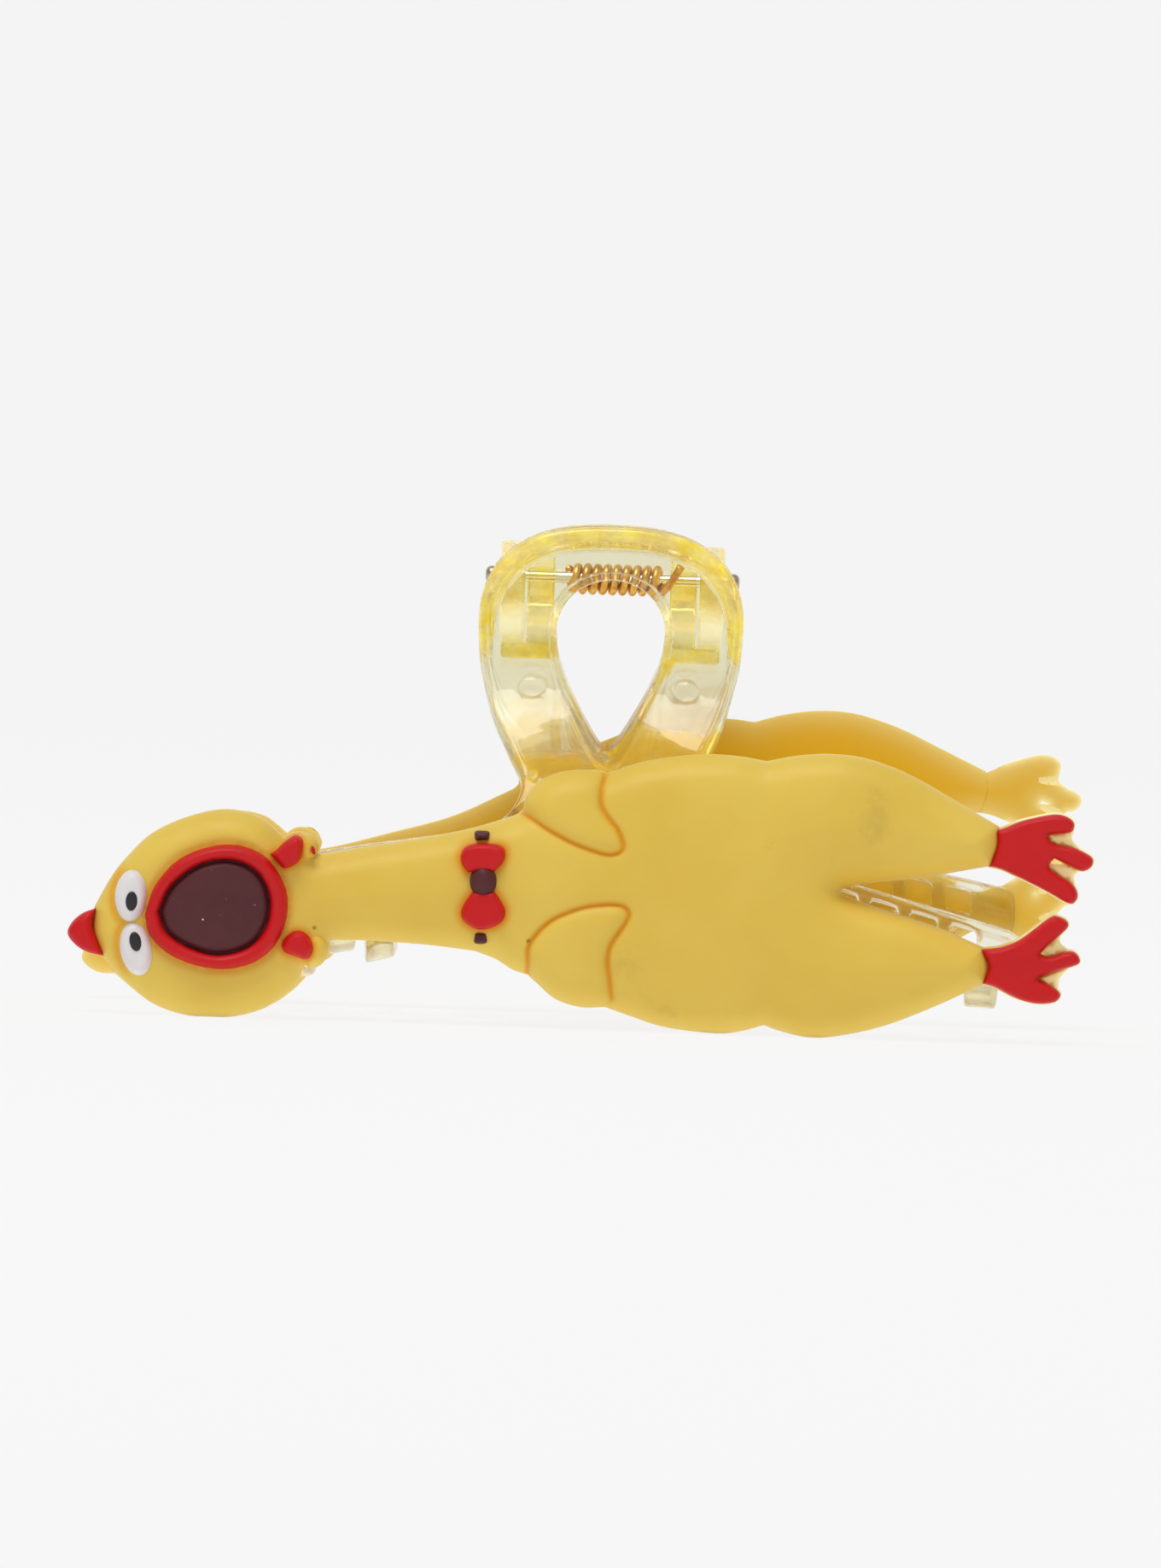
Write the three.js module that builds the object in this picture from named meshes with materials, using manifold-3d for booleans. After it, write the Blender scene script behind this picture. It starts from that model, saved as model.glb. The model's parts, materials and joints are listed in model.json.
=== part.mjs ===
// A claw hair clip dressed as a rubber chicken, in millimetres.
// Two clear jaws turn on a steel pin and a torsion spring holds them shut. A soft PVC chicken is bonded to
// each jaw.
// Everything is built about the pin: X runs along it, Y to the rear and Z up. The last lines move the origin
// to the middle of the clip's underside.
import * as THREE from "three";
import { mergeVertices } from "three/addons/utils/BufferGeometryUtils.js";
import Module from "manifold-3d";

const wasm = await Module();
wasm.setup();

// ---------- driving dimensions ----------
const GAP = 0.3; // left between pieces that touch
const FLOOR = -50; // the height that the clip stands on

const WALL = 2; // thickness of a jaw's moulded wall
const HANDLE_INNER = 4.5; // from the pin to the inner face of a handle
const RING = { halfWidth: 14.9, waist: -5.5, top: 6, power: 2.5 }; // outside of the loop handle
const LOOP_HOLE = { halfWidth: 6.1, waist: -5.9, top: -0.1, foot: -20 };
const RAIL_TOP = -27.4; // heights on the middle of the arched comb
const SLOT = { top: -28.6, bottom: -31.2, halfWidth: 1.55 };
const RAIL_BOTTOM = -32.6;
const COMB_HALF = 47;
const TOOTH = { pitch: 9, root: 2, tip: 1.5, count: 10 }; // root and tip are half widths
const LIP = { reach: 6.5, edge: 1.6, root: 1.2, rootGain: 2, foot: -9.5 };

const PIN = { radius: 0.65, head: 1, headFrom: 13.2, headTo: 14.3, bore: 0.82 };
const FRONT_KNUCKLE = { from: 6.5, to: 9.5, radius: 3.4 };
const REAR_KNUCKLE = { from: 9.8, to: 12.6, radius: 4 };
const KNUCKLE_FOOT = -8.8;
const SPRING = { wire: 0.48, radius: 1.5, pitch: 1.07, turns: 9.5, legTop: 3.5 };

const PAD = 19.2; // from the pin to the flat back of each chicken
const BASE = 2.4; // thickness of the feet, the comb and the rim round a chicken
const BODY = 6.2; // thickness of a chicken's body
const INLAY = BODY + GAP; // where the coloured pours on the body begin
const FOOT_MARGIN = 0.5; // how far the base shows round a red foot or comb

const CLEAR = { color: 0xe9dd7a, roughness: 0.08, metalness: 0 };
const YELLOW = { color: 0xe6c650, roughness: 0.55, metalness: 0 };
const RED = { color: 0xc41f2b, roughness: 0.5, metalness: 0 };
const MAROON = { color: 0x552c33, roughness: 0.55, metalness: 0 };
const WHITE = { color: 0xe9e6ea, roughness: 0.45, metalness: 0 };
const BLACK = { color: 0x2a2426, roughness: 0.45, metalness: 0 };
const BRASS = { color: 0xb98a3a, roughness: 0.3, metalness: 1 };
const STEEL = { color: 0xa39387, roughness: 0.3, metalness: 1 };

// ---------- solids ----------

// A closed geometry as a manifold-3d solid, turned to face out if a mirror has turned it.
function solid(geometry) {
  const bare = geometry.index ? geometry.toNonIndexed() : geometry.clone();
  for (const name of Object.keys(bare.attributes)) if (name !== "position") bare.deleteAttribute(name);
  const merged = mergeVertices(bare, 1e-4);
  const triVerts = new Uint32Array(merged.index.array);
  const vertProperties = merged.attributes.position.array;
  const made = new wasm.Manifold(new wasm.Mesh({ numProp: 3, vertProperties, triVerts }));
  if (made.volume() > 0) return made;
  for (let i = 0; i < triVerts.length; i += 3) {
    [triVerts[i + 1], triVerts[i + 2]] = [triVerts[i + 2], triVerts[i + 1]];
  }
  return new wasm.Manifold(new wasm.Mesh({ numProp: 3, vertProperties, triVerts }));
}

// A manifold-3d solid as a geometry.
function geometryOf(made) {
  const { numProp, vertProperties, triVerts, numVert } = made.getMesh();
  const positions = new Float32Array(numVert * 3);
  for (let i = 0; i < numVert; i++) {
    positions.set(vertProperties.subarray(i * numProp, i * numProp + 3), i * 3);
  }
  return new THREE.BufferGeometry()
    .setAttribute("position", new THREE.BufferAttribute(positions, 3))
    .setIndex(new THREE.BufferAttribute(triVerts, 1));
}

function piece(name, shape, finish) {
  const geometry = shape instanceof THREE.BufferGeometry ? shape : geometryOf(shape);
  const mesh = new THREE.Mesh(geometry, new THREE.MeshStandardMaterial(finish));
  mesh.name = name;
  return mesh;
}

// A closed surface through rings of equal length, capped at the first and the last ring.
function loft(rings) {
  const count = rings[0].length;
  const positions = [];
  const face = (a, b, c) => positions.push(...a.toArray(), ...b.toArray(), ...c.toArray());
  for (let k = 0; k + 1 < rings.length; k++) {
    for (let i = 0; i < count; i++) {
      const j = (i + 1) % count;
      face(rings[k][i], rings[k][j], rings[k + 1][j]);
      face(rings[k][i], rings[k + 1][j], rings[k + 1][i]);
    }
  }
  return { positions, face };
}

function closed({ positions }) {
  return new THREE.BufferGeometry().setAttribute("position", new THREE.Float32BufferAttribute(positions, 3));
}

const ground = solid(new THREE.BoxGeometry(200, 200, 40).translate(0, 0, FLOOR - 20));

// ---------- flat outlines ----------

// One closed outline from stretches of points. Each stretch is a smooth curve, and they meet in corners.
function outline(stretches, fineness = 1) {
  const points = [];
  for (const stretch of stretches) {
    const curve = new THREE.SplineCurve(stretch.map(([x, y]) => new THREE.Vector2(x, y)));
    points.push(...curve.getPoints((stretch.length - 1) * fineness).slice(0, -1));
  }
  return points;
}

function ellipse([x, y], a, b, tilt = 0, sides = 16) {
  const turn = THREE.MathUtils.degToRad(tilt);
  return new THREE.EllipseCurve(x, y, a, b, 0, 2 * Math.PI, false, turn).getPoints(sides).slice(0, -1);
}

// The outline moved outwards by a distance, or inwards if it is negative.
function grown(points, distance) {
  const sign = THREE.ShapeUtils.isClockWise(points) ? -1 : 1;
  const count = points.length;
  return points.map((p, i) => {
    const before = p.clone().sub(points[(i + count - 1) % count]).normalize();
    const after = points[(i + 1) % count].clone().sub(p).normalize();
    const along = before.add(after).normalize();
    return new THREE.Vector2(p.x + along.y * distance * sign, p.y - along.x * distance * sign);
  });
}

// The outline without the points that lie on a straight run.
function cornersOf(points) {
  const count = points.length;
  return points.filter((p, i) => {
    const before = p.clone().sub(points[(i + count - 1) % count]);
    const after = points[(i + 1) % count].clone().sub(p);
    return Math.abs(before.cross(after)) > 1e-4;
  });
}

// An outline as a plate between two heights.
function plate(points, from, to, steps = 1) {
  const shape = new THREE.Shape(cornersOf(points));
  const settings = { depth: to - from, bevelEnabled: false, steps };
  return new THREE.ExtrudeGeometry(shape, settings).translate(0, 0, from);
}

// An outline as a cushion with a flat back: each step is [inset, height].
function cushion(points, steps) {
  const corners = cornersOf(points);
  if (THREE.ShapeUtils.isClockWise(corners)) corners.reverse();
  const rings = steps.map(([inset, height]) =>
    grown(corners, -inset).map((p) => new THREE.Vector3(p.x, p.y, height)),
  );
  const shell = loft(rings);
  const [bottom, top] = [rings[0], rings[rings.length - 1]];
  for (const [a, b, c] of THREE.ShapeUtils.triangulateShape(corners, [])) {
    shell.face(bottom[a], bottom[c], bottom[b]);
    shell.face(top[a], top[b], top[c]);
  }
  return closed(shell);
}

// ---------- the jaws ----------

// Middle of a jaw's wall, seen along the pin as [y, z]: down the handle, out to the comb and in along the
// teeth.
const wallMiddle = -HANDLE_INNER - WALL / 2;
const wallLine = new THREE.SplineCurve(
  [
    [wallMiddle, 7],
    [wallMiddle, 2],
    [wallMiddle, -3.5],
    [wallMiddle - 0.1, -8.5],
    [-7.3, -13.5],
    [-10.8, -18],
    [-14.4, -21.8],
    [-17, -25.2],
    [-17.9, -29],
    [-17.5, -32.6],
    [-15.4, -35.8],
    [-12, -37.8],
    [-8, -38.4],
    [-4, -38.2],
    [0, -37.4],
    [3.6, -36],
  ].map(([y, z]) => new THREE.Vector2(y, z)),
);

// The comb is an arch seen from the front, a little lower at one end: its drop at a distance x from the
// middle.
const archDrop = (x) => 0.235 * (Math.hypot(x, 12) - 12) + 0.04 * x;

// The teeth get shorter towards both ends of the comb: how far each is raised.
const toothRise = (x) => 2.6 * THREE.MathUtils.smoothstep(Math.abs(x), 33, 46);

// The wall as one section along the pin, arched below the handle.
function sheet(sections = 28, steps = 20) {
  const line = wallLine.getSpacedPoints(sections);
  const side = (depth) =>
    line.map((p, i) => {
      const tangent = wallLine.getTangentAt(i / sections);
      return new THREE.Vector2(p.x + tangent.y * depth, p.y - tangent.x * depth);
    });
  const section = [...side(WALL / 2), ...side(-WALL / 2).reverse()].map((p) => [p.x, p.y]);
  const geometry = alongPin(section, -COMB_HALF, COMB_HALF, steps);
  const position = geometry.attributes.position;
  for (let i = 0; i < position.count; i++) {
    const [x, z] = [position.getX(i), position.getZ(i)];
    const share = THREE.MathUtils.smoothstep(-z, 12, 22);
    const below = THREE.MathUtils.smoothstep(-z, -RAIL_BOTTOM, 37);
    position.setZ(i, z - share * archDrop(x) + below * toothRise(x));
  }
  return solid(geometry);
}

// A bar along the pin with a section given as [y, z].
function alongPin(section, from, to, steps = 1) {
  const points = section.map(([y, z]) => new THREE.Vector2(y, z));
  return plate(points, from, to, steps).rotateY(Math.PI / 2).rotateX(Math.PI / 2);
}

// A prism through the whole clip with an outline seen from the front as [x, z].
function frontPrism(points) {
  return solid(plate(points.map(([x, z]) => new THREE.Vector2(x, z)), -5, 30).rotateX(Math.PI / 2));
}

// The right half of the loop handle's outside, from its top down to the comb, seen from the front.
function ringSide() {
  const points = [];
  const share = 2 / RING.power;
  for (const turn of [90, 80, 70, 60, 50, 40, 30, 20, 10, 0]) {
    const angle = THREE.MathUtils.degToRad(turn);
    points.push([
      RING.halfWidth * Math.cos(angle) ** share,
      RING.waist + (RING.top - RING.waist) * Math.sin(angle) ** share,
    ]);
  }
  points[0][0] = 0;
  const flank = new THREE.SplineCurve(
    [
      [RING.halfWidth, RING.waist],
      [14.5, -10],
      [13.1, -15],
      [11, -19.2],
      [9.4, -22.8],
      [10.4, -25.6],
      [13, -27.4],
    ].map(([x, z]) => new THREE.Vector2(x, z)),
  );
  return [...points, ...flank.getPoints(9).slice(1).map((p) => [p.x, p.y])];
}

const mirrored = (points) => points.map(([x, z]) => [-x, z]).reverse();
const arched = ([x, z]) => [x, z - archDrop(x)];

// The handle and the comb's rails from the front, with the finger loop and the comb's slots.
function handleAndRails() {
  const topEdge = [];
  for (let x = 16; x < COMB_HALF - 1; x += 5) topEdge.push([x, RAIL_TOP]);
  const end = [
    [COMB_HALF - 0.8, RAIL_TOP],
    [COMB_HALF - 0.1, RAIL_TOP - 1],
    [COMB_HALF - 0.1, RAIL_BOTTOM + 1.2],
    [COMB_HALF - 1.2, RAIL_BOTTOM],
  ];
  const underside = [];
  for (let x = 44; x > 0; x -= 4) underside.push([x, RAIL_BOTTOM]);
  const half = [...ringSide(), ...[...topEdge, ...end, ...underside].map(arched)];
  const whole = frontPrism([...half, ...mirrored(half).slice(0, -1)]);
  const holes = [loopHole(), ...slots()].map(frontPrism);
  return holes.reduce((left, hole) => left.subtract(hole), whole);
}

function loopHole() {
  const { halfWidth, waist, top, foot } = LOOP_HOLE;
  const half = [];
  for (let i = 0; i <= 7; i++) {
    const angle = (Math.PI / 2) * (1 - i / 7);
    half.push([halfWidth * Math.cos(angle), waist + (top - waist) * Math.sin(angle)]);
  }
  half[0][0] = 0;
  half.push([5.8, -8.6], [4.7, -12], [2.9, -15.8], [0.9, -19.2]);
  return [...half, [0, foot], ...mirrored(half).slice(0, -1)];
}

function slots() {
  const pitch = TOOTH.pitch / 2;
  const reach = Math.floor((COMB_HALF - 2 * SLOT.halfWidth) / pitch);
  const holes = [];
  for (let k = -reach; k <= reach; k++) {
    const [left, right] = [k * pitch - SLOT.halfWidth, k * pitch + SLOT.halfWidth];
    holes.push([[left, SLOT.bottom], [right, SLOT.bottom], [right, SLOT.top], [left, SLOT.top]].map(arched));
  }
  return holes;
}

// One tooth's plan as [x, y] from the rail inwards, raised as a prism from below the clip to the rail.
function toothPrism(x) {
  const half = [
    [TOOTH.root, -22],
    [TOOTH.root, -15],
    [TOOTH.tip, 0],
    [TOOTH.tip * 0.75, 1.6],
    [0, 2.6],
  ];
  const points = [...half, ...half.slice(0, -1).map(([w, y]) => [-w, y]).reverse()];
  const outlined = points.map(([w, y]) => new THREE.Vector2(x + w, y));
  return solid(plate(outlined, -70, RAIL_BOTTOM + 1 - archDrop(x)));
}

function teeth() {
  const places = [];
  const first = TOOTH.pitch * (0.25 - (TOOTH.count - 1) / 2);
  for (let k = 0; k < TOOTH.count; k++) places.push(first + k * TOOTH.pitch);
  return places.map(toothPrism).reduce((all, one) => all.add(one));
}

function formedWall() {
  const wall = sheet();
  return wall.intersect(handleAndRails()).add(wall.intersect(teeth())).subtract(ground);
}

// The flared lip that the fingers press, round the top of the loop handle.
function lip() {
  const half = ringSide().filter(([, z]) => z > LIP.foot);
  const path = [...mirrored(half.slice(1)), ...half].map(([x, z]) => new THREE.Vector2(x, z));
  const rings = path.map((p, i) => {
    const before = path[Math.max(i - 1, 0)];
    const after = path[Math.min(i + 1, path.length - 1)];
    const along = after.clone().sub(before).normalize();
    const inward = new THREE.Vector2(along.y, -along.x);
    const rise = THREE.MathUtils.clamp((p.y - LIP.foot) / 11, 0, 1) ** 0.8;
    const outer = -HANDLE_INNER - WALL - LIP.reach * rise - 0.3;
    const root = LIP.root + LIP.rootGain * rise;
    const section = [
      [0.7, -HANDLE_INNER - 0.4],
      [0.7, -HANDLE_INNER - WALL],
      [0.1, outer + 0.9],
      [0.1, outer],
      [LIP.edge * 0.8, outer],
      [LIP.edge, outer + 0.9],
      [root, -HANDLE_INNER - WALL - 0.5],
      [root, -HANDLE_INNER - 0.4],
    ];
    return section.map(([inset, y]) => new THREE.Vector3(p.x + inward.x * inset, y, p.y + inward.y * inset));
  });
  const shell = loft(rings);
  for (const ring of [rings[0], rings[rings.length - 1]]) {
    const flip = ring === rings[0];
    for (let i = 1; i + 1 < ring.length; i++) {
      if (flip) shell.face(ring[0], ring[i + 1], ring[i]);
      else shell.face(ring[0], ring[i], ring[i + 1]);
    }
  }
  return solid(closed(shell));
}

function knuckles({ from, to, radius }) {
  const section = [[-HANDLE_INNER - 0.3, radius * 0.86]];
  for (const turn of [120, 90, 60, 30, 0, -30, -60]) {
    const angle = THREE.MathUtils.degToRad(turn);
    section.push([radius * Math.cos(angle), radius * Math.sin(angle)]);
  }
  section.push([-HANDLE_INNER - 0.3, KNUCKLE_FOOT]);
  return solid(alongPin(section, from, to)).add(solid(alongPin(section, -to, -from)));
}

const boreTool = solid(new THREE.CylinderGeometry(PIN.bore, PIN.bore, 40, 12).rotateZ(Math.PI / 2));

function jaw(knuckle) {
  return formedWall().add(lip()).add(knuckles(knuckle)).subtract(boreTool);
}

function rearwards(made) {
  return solid(geometryOf(made).rotateZ(Math.PI));
}

// ---------- pin and spring ----------

function hingePin() {
  const profile = [
    [0, -PIN.headTo],
    [PIN.head * 0.7, -PIN.headTo],
    [PIN.head, -PIN.headTo + 0.4],
    [PIN.head, -PIN.headFrom],
    [PIN.radius, -PIN.headFrom],
    [PIN.radius, PIN.headFrom],
    [PIN.head, PIN.headFrom],
    [PIN.head, PIN.headTo - 0.4],
    [PIN.head * 0.7, PIN.headTo],
    [0, PIN.headTo],
  ].map(([r, x]) => new THREE.Vector2(r, x));
  return new THREE.LatheGeometry(profile, 12).rotateZ(-Math.PI / 2);
}

// The spring's centre line: a leg up the front handle, the coil round the pin and a leg up the rear handle.
class SpringLine extends THREE.Curve {
  getPoint(t) {
    const { radius, turns, pitch, legTop } = SPRING;
    const half = (turns * pitch) / 2;
    const legShare = 0.05;
    const reach = HANDLE_INNER - SPRING.wire - 0.15;
    const leg = (share, side) => {
      const y = THREE.MathUtils.lerp(radius, reach, share);
      return new THREE.Vector3(side * (half + 0.3 * share), side * y, legTop * share);
    };
    if (t < legShare) return leg(1 - t / legShare, -1);
    if (t > 1 - legShare) return leg((t - 1 + legShare) / legShare, 1);
    const share = (t - legShare) / (1 - 2 * legShare);
    const angle = Math.PI + 2 * Math.PI * turns * share;
    return new THREE.Vector3(half * (2 * share - 1), radius * Math.cos(angle), radius * Math.sin(angle));
  }
}

function torsionSpring() {
  const section = new THREE.Shape(ellipse([0, 0], SPRING.wire, SPRING.wire, 0, 6));
  const settings = { steps: 96, bevelEnabled: false, extrudePath: new SpringLine() };
  return new THREE.ExtrudeGeometry(section, settings);
}

// ---------- a chicken, flat on its back: x towards the feet, y up, z out of the jaw ----------

const crown = [
  [-54.5, 1.6], [-52.7, 4.8], [-50.9, 7.1], [-48, 9.8],
  [-44, 11.6], [-39.7, 12.4], [-35.9, 11.4], [-33.3, 9.2],
];
const upperCheek = [[-33.3, 9.2], [-32.2, 9.8], [-30.9, 9.7], [-29.8, 9], [-29.4, 8.1], [-29.7, 7.3]];
const neckTop = [[-29.7, 7.3], [-22.1, 8.5], [-13.6, 9.9], [-7.9, 11.5], [-6.7, 12.2]];
const upperWing = [[-6.7, 12.2], [-6.2, 13.9], [-4.6, 15.5], [-1.7, 16.5], [1.6, 16.6], [2.8, 16.3]];
const flankTop = [[2.8, 16.3], [7.3, 17.6], [13, 18.3], [17.3, 18.1], [20.6, 17.5]];
const thighTop = [
  [20.6, 17.5], [23.9, 18.1], [27.7, 18.3], [32, 17.7], [36.8, 15.8], [41.5, 13.1], [46.4, 10.2],
];
const upperAnkle = [[46.4, 10.2], [46.4, 8], [45.6, 5.8]];
const fork = [[45.6, 5.8], [37.7, 4.5], [31.1, 3.8], [28.8, 2.8], [33.9, 0.8], [39.6, -1.1], [44.6, -3.3]];
const lowerAnkle = [[44.6, -3.3], [45.2, -5.4], [44.8, -7.3]];
const thighBottom = [
  [44.8, -7.3], [39.6, -9.7], [33.9, -11.9], [29.2, -13], [25.4, -13.3], [22, -12.6], [20.1, -11.9],
];
const flankBottom = [[20.1, -11.9], [17.8, -12.5], [14.9, -12.8], [9.2, -12.1], [5.4, -10.9], [2.4, -9.8]];
const lowerWing = [[2.4, -9.8], [-0.3, -9.8], [-3.1, -8.9], [-5.2, -7.1], [-6.2, -6.2]];
const shoulder = [[-6.2, -6.2], [-7.9, -5.6], [-9.8, -4.4], [-12.1, -3.5]];
const neckBottom = [[-12.1, -3.5], [-17.4, -2.8], [-24, -2.3], [-28.2, -2.2]];
const lowerCheek = [[-28.2, -2.2], [-28.4, -3.7], [-29.3, -5], [-30.5, -5.4], [-31, -5]];
const jowl = [
  [-31, -5], [-32.3, -7.3], [-35.4, -9.7], [-39.7, -10.8],
  [-44, -10.6], [-47.9, -9.3], [-50.9, -6.9], [-53.8, -3.8],
];
const brow = [[-53.8, -3.8], [-54.7, -1.2], [-54.5, 1.6]];

const bodyOutline = outline([
  crown, upperCheek, neckTop, upperWing, flankTop, thighTop, upperAnkle, fork, lowerAnkle, thighBottom,
  flankBottom, lowerWing, shoulder, neckBottom, lowerCheek, jowl, brow,
], 2);

const crestOutline = outline([
  [[-54, -3.9], [-55.8, -3.2], [-57, -2.2], [-57.5, -1.2], [-57, -0.1], [-56, 0.8], [-54.8, 1.5]],
  [[-54.8, 1.5], [-55.1, 0.2], [-55, -1.2], [-54, -3.9]],
]);

const upperFootOutline = outline([
  [
    [46.8, 9.9], [48.6, 10.8], [51.6, 11.5], [53.1, 11.6], [54.3, 11.2],
    [54.9, 10.5], [54.7, 9.6], [53.9, 9.3], [51.9, 9.2],
  ],
  [
    [51.9, 9.2], [52.6, 8.4], [54.5, 8], [55.9, 7.4], [56.9, 6.7],
    [56.9, 5.8], [56.2, 5.2], [55.2, 5.2], [52.6, 6.5],
  ],
  [
    [52.6, 6.5], [52.1, 5.8], [53, 4.9], [54.5, 4], [55.2, 2.9],
    [55.1, 1.9], [54.1, 1.5], [51.2, 3.1], [46, 5.7],
  ],
  [[46, 5.7], [46.8, 8], [46.8, 9.9]],
]);

const lowerFootOutline = outline([
  [
    [45, -3.4], [46.8, -3.1], [48.7, -2.3], [52, 0.1], [53.1, 0.2],
    [54.1, -0.4], [54, -1.3], [52.1, -3], [51.1, -4],
  ],
  [
    [51.1, -4], [52.1, -4.2], [53.6, -3.7], [54.7, -3.7],
    [55.4, -4.4], [55.2, -5.3], [52.6, -6.1], [50.8, -6.8],
  ],
  [
    [50.8, -6.8], [52.4, -7.6], [53.3, -8.5], [52.8, -9.4],
    [51.5, -9.7], [50, -9.6], [48.1, -9], [45.2, -7.4],
  ],
  [[45.2, -7.4], [45.7, -5.4], [45, -3.4]],
]);

const lipsOutline = outline([
  [
    [-48.5, 0.8], [-47.4, 4], [-44.6, 7.2], [-39.7, 8.6], [-35.6, 7.4], [-33.2, 4], [-33, 0.4],
    [-34.6, -3], [-37.6, -4.9], [-41.5, -5.2], [-45.4, -3.8], [-47.9, -1.6], [-48.5, 0.8],
  ],
]);

const mouthOutline = outline([
  [
    [-47.2, 1.2], [-45.8, 4], [-42.8, 6.3], [-39.4, 6.9], [-36.5, 5.7], [-35, 3], [-35.2, -0.2],
    [-37.2, -2.7], [-40.7, -3.6], [-44, -2.7], [-46.4, -1], [-47.2, 1.2],
  ],
]);

const upperWattleOutline = outline([
  [
    [-34.6, 7.5], [-33.3, 8.5], [-32.3, 9.3], [-31.5, 9.4], [-31, 8.8], [-31.1, 7.9],
    [-31.9, 6.6], [-32.6, 5.9], [-33.3, 5.8], [-34, 6.4], [-34.6, 7.5],
  ],
]);

const lowerWattleOutline = outline([
  [
    [-33.6, -2.1], [-33.2, -1.3], [-32.4, -1], [-31.3, -1.1], [-30.3, -1.7], [-29.8, -2.6],
    [-29.9, -3.6], [-30.5, -4.2], [-31.5, -4.1], [-32.8, -3.6], [-33.6, -2.1],
  ],
]);

const KNOT = { centre: [-11.1, 4.4], a: 1.5, b: 1.8 };
const upperBowOutline = outline([
  [
    [-12.9, 5.4], [-13.5, 6.4], [-13.6, 7.3], [-13.1, 8.2], [-11.9, 8.6], [-10.3, 8.6], [-8.9, 8.2],
    [-8.6, 7.2], [-9.1, 6.2], [-9.9, 5.4],
  ],
  [[-9.9, 5.4], [-12.9, 5.4]],
]);
const lowerBowOutline = outline([
  [
    [-9.9, 3.4], [-9.1, 2.2], [-8.6, 1], [-9.1, -0.2], [-10.6, -0.9], [-12, -0.9], [-13.3, 0],
    [-13.6, 1], [-13.1, 2.2], [-12.2, 3.4],
  ],
  [[-12.2, 3.4], [-9.9, 3.4]],
]);

const EYES = {
  upper: { centre: [-50.3, 2.95], a: 1.8, b: 2.85, tilt: -4, pupil: [-50.3, 2.4] },
  lower: { centre: [-49.7, -2.95], a: 1.8, b: 2.9, tilt: 10, pupil: [-49.7, -2.3] },
};
const TABS = { upper: [-11.2, 9.3], lower: [-11.4, -1.9] };

// A chicken's neck and head may sag from the point where they leave the comb: the head hangs lower with
// distance, and the neck bends a little in its middle.
function sagged(geometry, sag) {
  const position = geometry.attributes.position;
  for (let i = 0; i < position.count; i++) {
    const x = position.getX(i);
    const past = Math.max(0, -12 - x) / 43;
    const bend = 0.31 * Math.exp(-(((x + 24) / 13) ** 4));
    position.setY(i, position.getY(i) - sag * (past * past + bend));
  }
  return geometry;
}

// The yellow body: a thin base under the feet and the comb, and a cushion for the rest.
function chickenBody(placing, sag) {
  const steps = [[0.25, 0], [0.25, 4.2], [0.55, 5.4], [1.15, BODY]];
  let body = solid(cushion(bodyOutline, steps)).add(solid(plate(bodyOutline, 0, BASE)));
  for (const red of [upperFootOutline, lowerFootOutline, crestOutline]) {
    body = body.add(solid(plate(grown(red, FOOT_MARGIN), 0, BASE)));
  }
  const table = solid(geometryOf(ground).applyMatrix4(placing.clone().invert()));
  return solid(sagged(geometryOf(body), sag)).subtract(table);
}

// Tools that keep one pour clear of another.
const mouthTool = solid(plate(mouthOutline, INLAY - 1, BODY + 3));
const knotTool = solid(plate(ellipse(KNOT.centre, KNOT.a + GAP, KNOT.b + GAP), INLAY - 1, BODY + 3));

function chicken(side, group, sag) {
  const pour = (part, shape, finish) => {
    const geometry = shape instanceof THREE.BufferGeometry ? shape : geometryOf(shape);
    group.add(piece(`${side}_chicken_${part}`, sagged(geometry, sag), finish));
  };
  const onBase = BASE + GAP;
  group.updateMatrix();
  group.add(piece(`${side}_chicken_body`, chickenBody(group.matrix, sag), YELLOW));
  pour("crest", plate(crestOutline, onBase, 4.2), RED);
  pour("foot_upper", plate(upperFootOutline, onBase, 4.4), RED);
  pour("foot_lower", plate(lowerFootOutline, onBase, 4.4), RED);
  pour("lips", solid(plate(lipsOutline, INLAY, INLAY + 1)).subtract(mouthTool), RED);
  pour("mouth", plate(grown(mouthOutline, -GAP), INLAY, INLAY + 0.7), MAROON);
  pour("wattle_upper", plate(upperWattleOutline, INLAY, INLAY + 0.9), RED);
  pour("wattle_lower", plate(lowerWattleOutline, INLAY, INLAY + 0.9), RED);
  pour("bow_upper", solid(plate(upperBowOutline, INLAY, INLAY + 0.7)).subtract(knotTool), RED);
  pour("bow_lower", solid(plate(lowerBowOutline, INLAY, INLAY + 0.7)).subtract(knotTool), RED);
  pour("bow_knot", plate(ellipse(KNOT.centre, KNOT.a, KNOT.b), INLAY, INLAY + 1.2), MAROON);
  for (const [place, { centre, a, b, tilt, pupil }] of Object.entries(EYES)) {
    pour(`eye_${place}`, plate(ellipse(centre, a, b, tilt, 14), INLAY, INLAY + 0.7), WHITE);
    pour(`pupil_${place}`, plate(ellipse(pupil, 0.68, 1.08, tilt, 10), INLAY + 1, INLAY + 1.3), BLACK);
  }
  for (const [place, centre] of Object.entries(TABS)) {
    pour(`collar_${place}`, plate(ellipse(centre, 0.85, 0.65, 0, 8), INLAY, INLAY + 0.5), MAROON);
  }
  return group;
}

// ---------- assembly ----------

const clip = new THREE.Group();
clip.add(
  piece("front_jaw", jaw(FRONT_KNUCKLE), CLEAR),
  piece("rear_jaw", rearwards(jaw(REAR_KNUCKLE)), CLEAR),
  piece("hinge_pin", hingePin(), STEEL),
  piece("torsion_spring", torsionSpring(), BRASS),
);

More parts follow.
